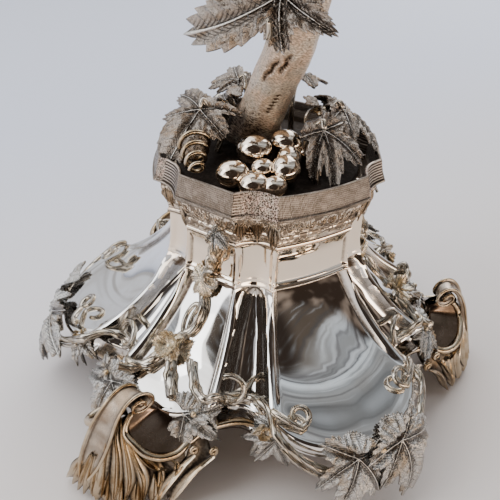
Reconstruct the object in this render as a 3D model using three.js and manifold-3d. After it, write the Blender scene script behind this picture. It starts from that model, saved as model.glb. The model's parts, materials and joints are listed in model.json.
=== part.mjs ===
// A silver table centrepiece: a three-footed base with polished lobes, a vine trunk and a glass bowl.
// Millimetres, +Z up. An angle in plan is counted from -Y towards +X. Lobes lie at 0 and 120 degrees
// either way, feet at 60, 180 and 300. The trunk stands in the middle and carries a lift-out bowl.
import * as THREE from 'three';
import { mergeVertices } from 'three/addons/utils/BufferGeometryUtils.js';
import Module from 'manifold-3d';

const wasm = await Module();
wasm.setup();

// Clearances
const GAP = 0.35; // between pieces that rest on each other
const STUD_CLEARANCE = 0.35; // round a threaded stud in its hole

// Plan of the base
const LOBE_ANGLES = [0, 120, 240];
const FOOT_ANGLES = [300, 60, 180];
const FOOT_NAMES = ['left', 'right', 'rear'];
const LOBE_NAMES = ['front', 'right', 'left'];
const LOBE_CREST = 23.5; // crest beside a lobe, degrees from the lobe's middle
const FOOT_CREST = 44.5; // crest beside a foot, degrees from the lobe's middle
const SECTOR = 60; // a foot's middle, degrees from the lobe's middle

// Heights and reaches of the shell
const NECK_TOP_Z = 160;
const STEP_Z = 110; // the moulded step between the neck and the skirt
const NECK_R = 61; // skirt corners just under the step
const NECK_SCOOP = 5; // how far the neck's incurved corners are hollowed
const LOBE_REACH = 130; // tip of a lobe's tongue
const LOBE_TIP_Z = 51;
const LOBE_HALF_WIDTH = 47;
const LOBE_SHOULDER = 96; // distance from the axis to the tongue's widest place
const FOOT_REACH = 117; // end of the panel over a foot
const FOOT_CREST_REACH = 108;
const ARCH_DEPTH = 9; // how far the apron arch is drawn in between a foot and a lobe
const WALL = 3;
const DECK = 4; // thickness of the shell's flat top
const DECK_HUB = 22; // plain middle of the deck, round the rod
const LOBE_RECESS = 4; // polished lobe panel below its crests
const FOOT_RECESS = 5; // foot panel below its crests
const FLUTE_DEPTH = 9; // hollow between two crests, at the step
const FLUTE_GAIN = 7; // how much deeper the hollow is at the apron

// Rolled edges, as drops below the top of the rim
const LOBE_ROLL = 11;
const ARCH_ROLL = 21;
const FOOT_ROLL = 7;

// Plinth band
const PLINTH_HEIGHT = 14.6;
const PLINTH_R = 68.2; // corner radius at the top
const PLINTH_FLARE = 3.7; // how much wider the band is at its foot
const PLINTH_WALL = 4.5;
const PLINTH_LOBE_HALF = 24.8;
const PLINTH_FOOT_HALF = 15;
const PLINTH_BOW = 3.4; // outward bow of a lobe's side
const PLINTH_SCOOP = 5;

// Mound inside the plinth
const MOUND_EDGE = 4.5; // height above the deck at its edge
const MOUND_RISE = 6; // extra height in the middle
const MOUND_R = 55;

// Centre rod and its fastening under the deck
const ROD_R = 4;
const ROD_LENGTH = 62;
const ROD_IN_TRUNK = 30; // how far the rod stands above the deck
const ROD_X = -1.5;
const ROD_Y = 13;
const WASHER_R = 14;
const WASHER_T = 2;
const WING_HUB_R = 8;
const WING_HUB_H = 10;
const WING_SPAN = 20;
const WING_T = 3;

// Feet
const VOLUTE_R = 10;
const VOLUTE_WIDTH = 16;
const VOLUTE_OUT = 6; // volute's centre beyond the end of the panel
const VOLUTE_RISE = 14.2; // volute's centre above the end of the panel
const STUD_R = 3;
const STUD_INSET = 12; // studs inside the end of the panel
const STUD_TAIL = 15; // thread below the top of the lug
const LUG_DROP = 11.4; // lug's top below the shell's inner face
const LUG_T = 7;
const LUG_WIDTH = 20;
const NUT_R = 5.8;
const NUT_T = 5;
// Acanthus fan, from under the volute to the table: share of the height, distance beyond the
// volute's centre, half width, wrap, thickness
const FAN = [
  { share: 1, out: 7, half: 8, wrap: 2, thick: 8 },
  { share: 0.8, out: 16, half: 16, wrap: 8, thick: 7 },
  { share: 0.6, out: 22, half: 24, wrap: 16, thick: 7 },
  { share: 0.4, out: 27, half: 29, wrap: 22, thick: 7 },
  { share: 0.18, out: 32, half: 31, wrap: 24, thick: 8 },
  { share: 0, out: 37, half: 27, wrap: 18, thick: 12 },
];
const FAN_BELOW = 6; // fan's top edge below the volute's centre

// Vines
const STEM_R = 2.4;
const TENDRIL_R = 1.5;
const STALK_R = 1.8;
const LEAF_T = 1.5;
const STEM_LIFT = 1.3; // free height of a stem over the shell
const ROLL_OUT = 3; // how far the rolled rim stands out

// Trunk
const TRUNK_R = 13.3;
const TRUNK_RISE = 238; // trunk's top above the deck

// Crown, ring and bowl
const RING_R = 84;
const RING_TUBE_R = 4;
const RING_RISE = 48; // ring above the trunk's top
const CROWN_HUB_R = 13;
const CROWN_HUB_H = 20;
const CROWN_STUD_LENGTH = 28;
const BRANCH_R = 5;
const BOWL_R = 128;
const BOWL_DEPTH = 74;
const BOWL_WALL = 5;
const BOWL_BASE_R = 34;
const BOWL_DROP = 24; // bowl's base below its seat on the ring

// Heights that follow from the sizes above
const TRUNK_TOP_Z = NECK_TOP_Z + TRUNK_RISE;
const ROD_TOP_Z = NECK_TOP_Z + ROD_IN_TRUNK;
const RING_Z = TRUNK_TOP_Z + RING_RISE;
const CROWN_Z = TRUNK_TOP_Z + GAP;
const CROWN_STUD_Z = CROWN_Z - CROWN_STUD_LENGTH / 2;

// Finishes
const polished = new THREE.MeshStandardMaterial({ color: 0xdcd8d0, roughness: 0.1, metalness: 1 });
const engraved = new THREE.MeshStandardMaterial({ color: 0x94897b, roughness: 0.5, metalness: 0.9 });
const satin = new THREE.MeshStandardMaterial({ color: 0xb9b8b4, roughness: 0.42, metalness: 0.9 });
const bark = new THREE.MeshStandardMaterial({ color: 0x8f857a, roughness: 0.55, metalness: 0.85 });
const brass = new THREE.MeshStandardMaterial({ color: 0xa98a4e, roughness: 0.35, metalness: 1 });
const crystal = new THREE.MeshStandardMaterial({ color: 0xe9f1f2, roughness: 0.05, metalness: 0 });

const { degToRad, lerp, smoothstep } = THREE.MathUtils;

// A point at an angle in plan, a distance from the axis and a height
function polar(angle, r, z) {
  return new THREE.Vector3(r * Math.sin(degToRad(angle)), -r * Math.cos(degToRad(angle)), z);
}

// Angle from the nearest lobe's middle, 0 to 60 degrees
function fromLobe(angle) {
  return Math.abs(THREE.MathUtils.euclideanModulo(angle + SECTOR, 2 * SECTOR) - SECTOR);
}

// Geometry to solid and back, for cuts and joins
function toSolid(geometry) {
  const bare = geometry.clone();
  bare.deleteAttribute('normal');
  bare.deleteAttribute('uv');
  const merged = mergeVertices(bare, 1e-4);
  return new wasm.Manifold(new wasm.Mesh({
    numProp: 3,
    vertProperties: new Float32Array(merged.attributes.position.array),
    triVerts: new Uint32Array(merged.index.array),
  }));
}

function toGeometry(solid) {
  const mesh = solid.getMesh();
  const geometry = new THREE.BufferGeometry();
  geometry.setAttribute('position', new THREE.BufferAttribute(mesh.vertProperties, 3));
  geometry.setIndex(new THREE.BufferAttribute(mesh.triVerts, 1));
  return geometry;
}

function join(geometries) {
  return toGeometry(geometries.map(toSolid).reduce((sum, solid) => sum.add(solid)));
}

function cut(geometry, tools) {
  return toGeometry(tools.map(toSolid).reduce((rest, tool) => rest.subtract(tool), toSolid(geometry)));
}

function makeMesh(name, geometry, material) {
  geometry.computeVertexNormals();
  const mesh = new THREE.Mesh(geometry, material);
  mesh.name = name;
  return mesh;
}

function indexed(points, triangles) {
  const geometry = new THREE.BufferGeometry();
  geometry.setFromPoints(points);
  geometry.setIndex(triangles);
  return geometry;
}

// A closed ring whose section changes round the axis: profileAt gives [r, z] points, clockwise
function ringGeometry(angles, profileAt) {
  const points = [];
  const triangles = [];
  for (const angle of angles) {
    points.push(...profileAt(angle).map(([r, z]) => polar(angle, r, z)));
  }
  const rows = points.length / angles.length;
  for (let i = 0; i < angles.length; i += 1) {
    const next = (i + 1) % angles.length;
    for (let j = 0; j < rows; j += 1) {
      const below = (j + 1) % rows;
      const a = i * rows + j;
      const b = next * rows + j;
      const c = next * rows + below;
      const d = i * rows + below;
      triangles.push(a, d, b, b, d, c);
    }
  }
  return indexed(points, triangles);
}

// A thick sheet between two grids of points, rows by columns
function sheetGeometry(rows, columns, frontAt, backAt) {
  const points = [];
  const triangles = [];
  for (const at of [frontAt, backAt]) {
    for (let i = 0; i < rows; i += 1) {
      for (let j = 0; j < columns; j += 1) points.push(at(i, j));
    }
  }
  const back = rows * columns;
  const quad = (a, b, c, d) => triangles.push(a, b, c, a, c, d);
  for (let i = 0; i + 1 < rows; i += 1) {
    for (let j = 0; j + 1 < columns; j += 1) {
      const a = i * columns + j;
      quad(a, a + columns, a + columns + 1, a + 1);
      quad(back + a, back + a + 1, back + a + columns + 1, back + a + columns);
    }
    const left = i * columns;
    const right = left + columns - 1;
    quad(left, back + left, back + left + columns, left + columns);
    quad(right, right + columns, back + right + columns, back + right);
  }
  for (let j = 0; j + 1 < columns; j += 1) {
    const last = (rows - 1) * columns + j;
    quad(j, j + 1, back + j + 1, back + j);
    quad(last, back + last, back + last + 1, last + 1);
  }
  return indexed(points, triangles);
}

// A round wire of changing thickness through a list of points
function wireGeometry(path, radiusAt, sides) {
  const points = [];
  const triangles = [];
  let side = new THREE.Vector3();
  path.forEach((centre, i) => {
    const before = path[Math.max(i - 1, 0)];
    const after = path[Math.min(i + 1, path.length - 1)];
    const along = after.clone().sub(before).normalize();
    if (i === 0) {
      const up = Math.abs(along.z) < 0.9 ? new THREE.Vector3(0, 0, 1) : new THREE.Vector3(1, 0, 0);
      side = up.cross(along).normalize();
    }
    side.addScaledVector(along, -side.dot(along)).normalize();
    const other = along.clone().cross(side);
    for (let k = 0; k < sides; k += 1) {
      const turn = (2 * Math.PI * k) / sides;
      const radius = radiusAt(i / (path.length - 1));
      points.push(centre.clone()
        .addScaledVector(side, radius * Math.cos(turn))
        .addScaledVector(other, radius * Math.sin(turn)));
    }
  });
  for (let i = 0; i + 1 < path.length; i += 1) {
    for (let k = 0; k < sides; k += 1) {
      const a = i * sides + k;
      const b = i * sides + ((k + 1) % sides);
      triangles.push(a, b, b + sides, a, b + sides, a + sides);
    }
  }
  const last = (path.length - 1) * sides;
  for (let k = 1; k + 1 < sides; k += 1) {
    triangles.push(0, k + 1, k);
    triangles.push(last, last + k, last + k + 1);
  }
  return indexed(points, triangles);
}

function tubeGeometry(points, radius, sides, steps) {
  const path = new THREE.CatmullRomCurve3(points).getPoints(steps);
  return wireGeometry(path, () => radius, sides);
}

function cylinderGeometry(radius, height, sides, bottomZ) {
  return new THREE.CylinderGeometry(radius, radius, height, sides)
    .rotateX(Math.PI / 2)
    .translate(0, 0, bottomZ + height / 2);
}

// The skirt: height falls as one over the distance from the axis
const FLARE_GAIN = (STEP_Z - LOBE_TIP_Z) / (1 / NECK_R - 1 / LOBE_REACH);
const FLARE_BASE = STEP_Z - FLARE_GAIN / NECK_R;

function flareZ(r) {
  return FLARE_BASE + FLARE_GAIN / r;
}

// Edge of a lobe's tongue: straight sides with an elliptic end
function lobeEdge(a) {
  const end = LOBE_REACH - LOBE_SHOULDER;
  const c = Math.cos(degToRad(a)) / end;
  const s = Math.sin(degToRad(a)) / LOBE_HALF_WIDTH;
  const m = LOBE_SHOULDER / end;
  const square = c * c + s * s;
  return (c * m + Math.sqrt(c * c * m * m - square * (m * m - 1))) / square;
}

// Distance from the axis to the skirt's edge
function skirtEdge(angle) {
  const a = fromLobe(angle);
  if (a <= LOBE_CREST) return lobeEdge(a);
  if (a <= FOOT_CREST) {
    const t = (a - LOBE_CREST) / (FOOT_CREST - LOBE_CREST);
    return lerp(lobeEdge(LOBE_CREST), FOOT_CREST_REACH, t) - ARCH_DEPTH * Math.sin(Math.PI * t);
  }
  const t = (a - FOOT_CREST) / (SECTOR - FOOT_CREST);
  return lerp(FOOT_CREST_REACH, FOOT_REACH, Math.sin((Math.PI / 2) * t));
}

// How far a panel or flute lies below the crests
function recess(angle, r) {
  const a = fromLobe(angle);
  const s = (r - NECK_R) / (skirtEdge(angle) - NECK_R);
  if (a <= LOBE_CREST) {
    return LOBE_RECESS * smoothstep(LOBE_CREST - a, 0, 2) * (1 - smoothstep(s, 0.55, 0.95));
  }
  if (a <= FOOT_CREST) {
    const t = (a - LOBE_CREST) / (FOOT_CREST - LOBE_CREST);
    return (FLUTE_DEPTH + FLUTE_GAIN * s) * Math.max(Math.sin(Math.PI * t), 0) ** 0.8;
  }
  return FOOT_RECESS * smoothstep(a - FOOT_CREST, 0, 3);
}

function skirtZ(angle, r) {
  return flareZ(r) - recess(angle, Math.min(r, skirtEdge(angle)));
}

// Places of the feet, from the end of the panel over them
const VOLUTE_REACH = FOOT_REACH + VOLUTE_OUT;
const VOLUTE_Z = skirtZ(SECTOR, FOOT_REACH) + VOLUTE_RISE;
const STUD_REACH = FOOT_REACH - STUD_INSET;
const LUG_TOP_Z = skirtZ(SECTOR, STUD_REACH) - WALL - LUG_DROP;
const STUD_BOTTOM_Z = LUG_TOP_Z - STUD_TAIL;

// A three-sided outline: bowed sides over the lobes, flat sides over the feet, hollow corners between
function bandRadius(angle, cornerR, lobeHalf, footHalf, bow, scoop) {
  const a = fromLobe(angle);
  const cos = (d) => Math.cos(degToRad(d));
  if (a <= lobeHalf) {
    return (cornerR * cos(lobeHalf)) / cos(a) + bow * (1 - (a / lobeHalf) ** 2);
  }
  if (a >= SECTOR - footHalf) return (cornerR * cos(footHalf)) / cos(SECTOR - a);
  const middle = (lobeHalf + SECTOR - footHalf) / 2;
  const half = middle - lobeHalf;
  return (cornerR * cos(half)) / cos(a - middle) - scoop * (1 - ((a - middle) / half) ** 2);
}

function neckRadius(angle, cornerR) {
  return bandRadius(angle, cornerR, LOBE_CREST, SECTOR - FOOT_CREST, 2, NECK_SCOOP);
}

// Columns of facets round the axis, mirrored in each lobe and foot
const HALF_SECTOR = [0, 13, 21.5, LOBE_CREST, 29, 34, 39, FOOT_CREST, 48, SECTOR];
const COLUMNS = LOBE_ANGLES.flatMap((middle) => [
  ...HALF_SECTOR.slice(1).reverse().map((a) => middle - a),
  ...HALF_SECTOR.slice(0, -1).map((a) => middle + a),
]);

// Top of the apron's rolled edge to its foot, as [outward, downward share]
function rolledEdge(angle) {
  const a = fromLobe(angle);
  if (a < LOBE_CREST) return { drop: LOBE_ROLL, out: [1.5, 1, -1.5] };
  if (a <= FOOT_CREST) return { drop: ARCH_ROLL, out: [-3, 2.5, 1] };
  return { drop: FOOT_ROLL, out: [1, 1, -1] };
}

// Neck section from the deck's edge to the step: height and corner radius
const NECK_PROFILE = [
  [NECK_TOP_Z, 67.5],
  [NECK_TOP_Z - 5, 66.5],
  [NECK_TOP_Z - 12, 61.8],
  [STEP_Z + 3, 61.5],
  [STEP_Z + 1, 62.8],
  [STEP_Z - 1, 62.2],
];
const SKIRT_STEPS = [0.08, 0.26, 0.46, 0.7, 1];
const INNER_SKIRT_STEPS = [0.88, 0.56, 0.28, 0.08];

function shellProfile(angle) {
  const edge = skirtEdge(angle);
  const edgeZ = skirtZ(angle, edge);
  const { drop, out } = rolledEdge(angle);
  const outside = NECK_PROFILE.map(([z, corner]) => [neckRadius(angle, corner), z]);
  const skirt = SKIRT_STEPS.map((s) => {
    const r = lerp(NECK_R, edge, s);
    return [r, skirtZ(angle, r)];
  });
  const roll = [0.35, 0.75, 1].map((share, i) => [edge + out[i], edgeZ - drop * share]);
  const inside = INNER_SKIRT_STEPS.map((s) => {
    const r = lerp(NECK_R, edge, s);
    const slope = FLARE_GAIN / (r * r);
    const length = Math.hypot(1, slope);
    return [r - (WALL * slope) / length, skirtZ(angle, r) - WALL / length];
  });
  const lip = [edge + out[2] - WALL, edgeZ - drop];
  const neckR = neckRadius(angle, NECK_R + 0.5) - WALL;
  const neck = [[neckR, STEP_Z], [neckR, NECK_TOP_Z - DECK]];
  return [[DECK_HUB, NECK_TOP_Z], ...outside, ...skirt, ...roll, lip, ...inside, ...neck,
    [DECK_HUB, NECK_TOP_Z - DECK]];
}

// The hollow shell with its deck and the three studs that hold the feet
function makeShell() {
  const shell = ringGeometry(COLUMNS, shellProfile);
  const hub = cylinderGeometry(DECK_HUB + 4, DECK, 24, NECK_TOP_Z - DECK);
  const rodHole = cylinderGeometry(ROD_R + STUD_CLEARANCE, 3 * DECK, 16, NECK_TOP_Z - 2 * DECK)
    .translate(ROD_X, ROD_Y, 0);
  const studs = FOOT_ANGLES.map((angle) => {
    const top = skirtZ(angle, STUD_REACH) - WALL / 2;
    const place = polar(angle, STUD_REACH, 0);
    return cylinderGeometry(STUD_R, top - STUD_BOTTOM_Z, 12, STUD_BOTTOM_Z).translate(place.x, place.y, 0);
  });
  return makeMesh('base_shell', cut(join([shell, hub, ...studs]), [rodHole]), polished);
}

function plinthRadius(angle, cornerR) {
  return bandRadius(angle, cornerR, PLINTH_LOBE_HALF, PLINTH_FOOT_HALF, PLINTH_BOW, PLINTH_SCOOP);
}

// The engraved band that stands on the deck's edge
function makePlinthBand() {
  const bottom = NECK_TOP_Z + GAP;
  const top = bottom + PLINTH_HEIGHT;
  const band = ringGeometry(COLUMNS, (angle) => {
    const outerTop = plinthRadius(angle, PLINTH_R);
    const outerFoot = plinthRadius(angle, PLINTH_R + PLINTH_FLARE);
    const inner = outerTop - PLINTH_WALL;
    return [[inner, top], [outerTop - 0.8, top], [outerTop, top - 1], [outerFoot, bottom + 1],
      [outerFoot - 1, bottom], [inner, bottom]];
  });
  return makeMesh('plinth_band', band, engraved);
}

function moundZ(r) {
  return NECK_TOP_Z + GAP + MOUND_EDGE + MOUND_RISE * Math.cos((Math.PI / 2) * Math.min(r / MOUND_R, 1));
}

// The low mound inside the band, with a hole for the rod
function makeMound() {
  const bottom = NECK_TOP_Z + GAP;
  const dome = new THREE.LatheGeometry([
    new THREE.Vector2(0, bottom),
    new THREE.Vector2(MOUND_R, bottom),
    new THREE.Vector2(MOUND_R, moundZ(MOUND_R)),
    ...[0.7, 0.35, 0].map((s) => new THREE.Vector2(MOUND_R * s, moundZ(MOUND_R * s))),
  ], 24).rotateX(Math.PI / 2);
  const hole = cylinderGeometry(ROD_R + STUD_CLEARANCE, 40, 16, bottom - 5).translate(ROD_X, ROD_Y, 0);
  return makeMesh('mound', cut(dome, [hole]), satin);
}

// A foot about the line at angle 0: roll, acanthus fan, and the lug that hangs on the shell's stud
function footGeometry() {
  const roll = cylinderGeometry(VOLUTE_R, VOLUTE_WIDTH, 16, -VOLUTE_WIDTH / 2)
    .rotateY(Math.PI / 2)
    .translate(0, -VOLUTE_REACH, VOLUTE_Z);
  const across = [-1, -0.6, -0.2, 0.2, 0.6, 1];
  const fanPoint = (depth) => (i, j) => {
    const row = FAN[i];
    const u = across[j];
    const ridge = 1.2 * (j % 2);
    const reach = VOLUTE_REACH + row.out - row.wrap * u * u + ridge;
    return new THREE.Vector3(row.half * u, depth * row.thick - reach, row.share * (VOLUTE_Z - FAN_BELOW));
  };
  const fan = sheetGeometry(FAN.length, across.length, fanPoint(0), fanPoint(1));
  const lugEnd = VOLUTE_REACH + 15;
  const lugStart = STUD_REACH - 9;
  const lug = new THREE.BoxGeometry(LUG_WIDTH, lugEnd - lugStart, LUG_T)
    .translate(0, -(lugStart + lugEnd) / 2, LUG_TOP_Z - LUG_T / 2);
  const hole = cylinderGeometry(STUD_R + STUD_CLEARANCE, 3 * LUG_T, 12, LUG_TOP_Z - 2 * LUG_T)
    .translate(0, -STUD_REACH, 0);
  return cut(join([fan, roll, lug]), [hole]);
}

function footNutGeometry() {
  const top = LUG_TOP_Z - LUG_T - GAP;
  const nut = cylinderGeometry(NUT_R, NUT_T, 6, top - NUT_T);
  const bore = cylinderGeometry(STUD_R + STUD_CLEARANCE, 3 * NUT_T, 12, top - 2 * NUT_T);
  return cut(nut, [bore]).translate(0, -STUD_REACH, 0);
}

// Centre fastening: rod up into the trunk, washer and wing nut under the deck
function makeFastening() {
  const rod = cylinderGeometry(ROD_R, ROD_LENGTH, 16, ROD_TOP_Z - ROD_LENGTH);
  const washerTop = NECK_TOP_Z - DECK - GAP;
  const bore = (bottom) => cylinderGeometry(ROD_R + STUD_CLEARANCE, 40, 16, bottom);
  const washer = cut(cylinderGeometry(WASHER_R, WASHER_T, 24, washerTop - WASHER_T), [bore(washerTop - 20)]);
  const hubTop = washerTop - WASHER_T - GAP;
  const hub = cylinderGeometry(WING_HUB_R, WING_HUB_H, 16, hubTop - WING_HUB_H);
  const wings = new THREE.BoxGeometry(2 * WING_SPAN, WING_T, WING_HUB_H - 2)
    .translate(0, 0, hubTop - WING_HUB_H / 2);
  const wingNut = cut(join([hub, wings]), [bore(hubTop - 25)]);
  const group = new THREE.Group().add(
    makeMesh('centre_rod', rod, brass),
    makeMesh('centre_washer', washer, brass),
    makeMesh('wing_nut', wingNut, brass),
  );
  group.position.set(ROD_X, ROD_Y, 0);
  return group;
}

// A vine leaf's right half, as shares of its length: stalk joint at the origin, tip at [0, 1]
const LEAF_OUTLINE = [[0.2, -0.16], [0.3, 0.04], [0.54, 0.14], [0.37, 0.3], [0.48, 0.54], [0.22, 0.62]];

function leafGeometry({ length, width = length, curl = 0.3 }) {
  const right = LEAF_OUTLINE.map(([x, y]) => new THREE.Vector2(x * width, y * length));
  const left = right.map((p) => new THREE.Vector2(-p.x, p.y)).reverse();
  const outline = [new THREE.Vector2(0, 0), ...right, new THREE.Vector2(0, length), ...left];
  const plate = new THREE.ExtrudeGeometry(new THREE.Shape(outline), { depth: LEAF_T, bevelEnabled: false });
  const position = plate.attributes.position;
  for (let i = 0; i < position.count; i += 1) {
    const x = position.getX(i);
    const y = position.getY(i) - 0.2 * length;
    position.setZ(i, position.getZ(i) - LEAF_T / 2 - (curl * (x * x + y * y)) / length);
  }
  return plate;
}

// Stands a leaf at a point: lean turns its face from outward (0) to upward (90), heading turns its tip
function leafAt({ angle, r, z, lean, heading, ...shape }) {
  const outward = polar(angle, 1, 0);
  const around = new THREE.Vector3(-outward.y, outward.x, 0);
  const up = new THREE.Vector3(0, 0, 1);
  const tilt = degToRad(lean);
  const turn = degToRad(heading);
  const face = outward.clone().multiplyScalar(Math.cos(tilt)).addScaledVector(up, Math.sin(tilt));
  const fall = outward.clone().multiplyScalar(Math.sin(tilt)).addScaledVector(up, -Math.cos(tilt));
  const tip = fall.multiplyScalar(Math.cos(turn)).addScaledVector(around, Math.sin(turn));
  const frame = new THREE.Matrix4().makeBasis(tip.clone().cross(face), tip, face);
  return leafGeometry(shape).applyMatrix4(frame.setPosition(polar(angle, r, z)));
}

// A point over the skirt, at a free height above it
function onSkirt(angle, r, lift) {
  const slope = FLARE_GAIN / (r * r);
  const length = Math.hypot(1, slope);
  return polar(angle, r + (lift * slope) / length, skirtZ(angle, r) + lift / length);
}

// A point beside the rolled rim of a lobe, square to its outline, at a drop below its top
function besideRim(angle, drop, extra = 0) {
  const rimAt = (a) => polar(a, skirtEdge(a), 0);
  const along = rimAt(angle + 0.5).sub(rimAt(angle - 0.5)).normalize();
  const outward = new THREE.Vector3(along.y, -along.x, 0);
  return rimAt(angle)
    .addScaledVector(outward, ROLL_OUT + STEM_R + STEM_LIFT + extra)
    .setZ(skirtZ(angle, skirtEdge(angle)) - drop);
}

// A closed tendril curl that stands on a stem
function curlGeometry(centre, radius, toward) {
  return new THREE.TorusGeometry(radius, TENDRIL_R, 4, 10)
    .applyMatrix4(new THREE.Matrix4().lookAt(toward, new THREE.Vector3(), new THREE.Vector3(0, 0, 1)))
    .translate(centre.x, centre.y, centre.z);
}

// Vine down a foot's panel from under the band to a bud, about the line at angle 0
function footVineGeometry() {
  const lift = STEM_R + STEM_LIFT;
  const side = SECTOR;
  const down = (turn, r) => {
    const p = onSkirt(side + turn, r, lift);
    return polar(turn, Math.hypot(p.x, p.y), p.z);
  };
  const neck = neckRadius(side, 62.8) + lift;
  const stem = tubeGeometry([
    polar(5, neck + 1.5, NECK_TOP_Z - 12),
    polar(3, neck + 0.5, NECK_TOP_Z - 28),
    polar(1, neck + 0.5, STEP_Z + 4),
    down(-3, 65), down(-4, 72), down(-1, 80), down(-3, 87), down(-5, 91),
  ], STEM_R, 5, 14);
  const bud = new THREE.IcosahedronGeometry(6, 1).scale(1, 1, 0.8);
  const budPlace = down(-5, 91);
  bud.translate(budPlace.x, budPlace.y, budPlace.z + 2);
  const leafPlace = down(-2, 64);
  const leaf = leafAt({
    angle: -2, r: Math.hypot(leafPlace.x, leafPlace.y) + 1.5, z: leafPlace.z + 1,
    lean: 25, heading: -75, length: 20, curl: 0.1,
  });
  return join([stem, bud, leaf]);
}

// One side of a foot's garland: along the apron, down past the lobe's corner and along its rim
function garlandGeometry(side) {
  const lift = STEM_R + STEM_LIFT;
  const apron = (turn, inset, extra = 0) => {
    const p = onSkirt(SECTOR - turn, skirtEdge(SECTOR - turn) - inset, lift + extra);
    return polar(side * turn, Math.hypot(p.x, p.y), p.z);
  };
  const rim = (a, drop, extra) => {
    const p = besideRim(a, drop, extra).applyAxisAngle(new THREE.Vector3(0, 0, 1), degToRad(-SECTOR));
    return p.setX(-side * p.x);
  };
  const stem = tubeGeometry([
    apron(7, 20), apron(10, 12, 1), apron(15, 4.3, 3), apron(21, 4.2, 0.5), apron(28, 6.5, 0.5),
    apron(33.5, 5, 2), rim(22.5, 0), rim(18, 3), rim(14, 5), rim(9, 6), rim(4.5, 6),
  ], STEM_R, 5, 22);
  const curlR = 7.5;
  const curlCentre = apron(22, 4.5, 0.5).add(new THREE.Vector3(0, 0, curlR));
  const curl = curlGeometry(curlCentre, curlR, polar(side * 22, 1, 0.5));
  const near = apron(12, 8, 5);
  const corner = rim(20.5, 0.5, 4);
  const leaves = [
    leafAt({ angle: side * 12, r: Math.hypot(near.x, near.y), z: near.z + 1, lean: 48,
      heading: side * 12, length: 32 }),
    leafAt({ angle: side * 39.5, r: Math.hypot(corner.x, corner.y), z: corner.z, lean: 30,
      heading: -side * 12, length: 32, width: 42 }),
  ];
  return join([stem, curl, ...leaves]);
}

// The pair of large leaves that hang from a lobe's tip, about the line at angle 0
function tipLeavesGeometry() {
  const place = besideRim(0, 5);
  const r = -place.y + 2;
  const knot = new THREE.IcosahedronGeometry(4.2, 1).translate(0, -r, place.z);
  const leaves = [-1, 1].map((side) => leafAt({
    angle: side * 1.2, r: r + 3 + side * 0.8, z: place.z,
    lean: 20, heading: side * 40, length: 40, curl: 0.25,
  }));
  return join([knot, ...leaves]);
}

// Vine trunk: a leaning, winding stem with a spread root. Its centre line: x, y, share of the height
const TRUNK_FOOT_Z = moundZ(0) + GAP + 0.5;
const TRUNK_LINE = new THREE.CatmullRomCurve3([
  [-2, 14, 0], [-2, 13.5, 0.04], [-1, 9, 0.08], [1, 5, 0.13], [3, 0, 0.19], [6, -5, 0.25],
  [9, -11, 0.35], [12, -15, 0.46], [13, -16, 0.57], [10, -12, 0.7], [5, -5, 0.84], [0, 0, 0.956],
  [0, 0, 1],
].map(([x, y, share]) => new THREE.Vector3(x, y, lerp(TRUNK_FOOT_Z, TRUNK_TOP_Z, share))));

// Centre of the trunk at a height above the deck
function trunkCentre(rise) {
  const z = NECK_TOP_Z + rise;
  const path = TRUNK_LINE.getPoints(60);
  const i = Math.max(path.findIndex((point) => point.z > z), 1);
  return path[i - 1].clone().lerp(path[i], (z - path[i - 1].z) / (path[i].z - path[i - 1].z));
}

function trunkRadius(share) {
  const root = 4.2 * (1 - smoothstep(share, 0, 0.09));
  return TRUNK_R + 0.7 * Math.sin(9 * Math.PI * share) * Math.sin(Math.PI * share) + root;
}

function makeTrunk() {
  const path = TRUNK_LINE.getPoints(22);
  path[1].setX(path[0].x).setY(path[0].y);
  path[path.length - 2].setX(0).setY(0);
  const rodHole = cylinderGeometry(ROD_R + STUD_CLEARANCE, 40, 16, ROD_TOP_Z + GAP - 40)
    .translate(ROD_X, ROD_Y, 0);
  const studHole = cylinderGeometry(ROD_R + STUD_CLEARANCE, 30, 16, CROWN_STUD_Z - GAP);
  return makeMesh('trunk', cut(wireGeometry(path, trunkRadius, 9), [rodHole, studHole]), bark);
}

// Grapes on the mound in front of the trunk: centre and radius
const MOUND_GRAPES = [
  [-16, -10, 8.4], [4, -11, 8.4], [-38, -25, 8.1], [-33, -39, 7.3], [-11, -37, 8.5], [-22, -25, 6.6],
  [14, -17, 5.6], [-1, -27, 7.2], [-24, -44, 6.2],
];

function bunchGeometry(places, path, grapeAt) {
  const grapes = places.map(([x, y, z, r]) => grapeAt(r).translate(x, y, z));
  const line = path.map(([x, y, z]) => new THREE.Vector3(x, y, z));
  const stalk = tubeGeometry(line, STALK_R, 5, 3 * line.length);
  return join([stalk, ...grapes]);
}

function makeMoundGrapes() {
  const places = MOUND_GRAPES.map(([x, y, r]) => [x, y, moundZ(Math.hypot(x, y)) + r + GAP, r]);
  const order = [6, 1, 7, 4, 8, 3, 2, 5, 0];
  const path = order.map((i) => places[i].slice(0, 3));
  const grapeAt = (r) => new THREE.IcosahedronGeometry(r, 1);
  return makeMesh('mound_grapes', bunchGeometry(places, path, grapeAt), polished);
}

// Corkscrew tendril: a real conical winding of one wire
const COIL_TURNS = 5;
const COIL_STEPS = 8; // steps in a turn
const COIL_START = new THREE.Vector3(-38, 13, NECK_TOP_Z + 18);
const COIL_END = new THREE.Vector3(-47, -13, NECK_TOP_Z + 17);
const COIL_R = 8;
const COIL_END_R = 4;
const COIL_WIRE_R = 1.4;

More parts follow.
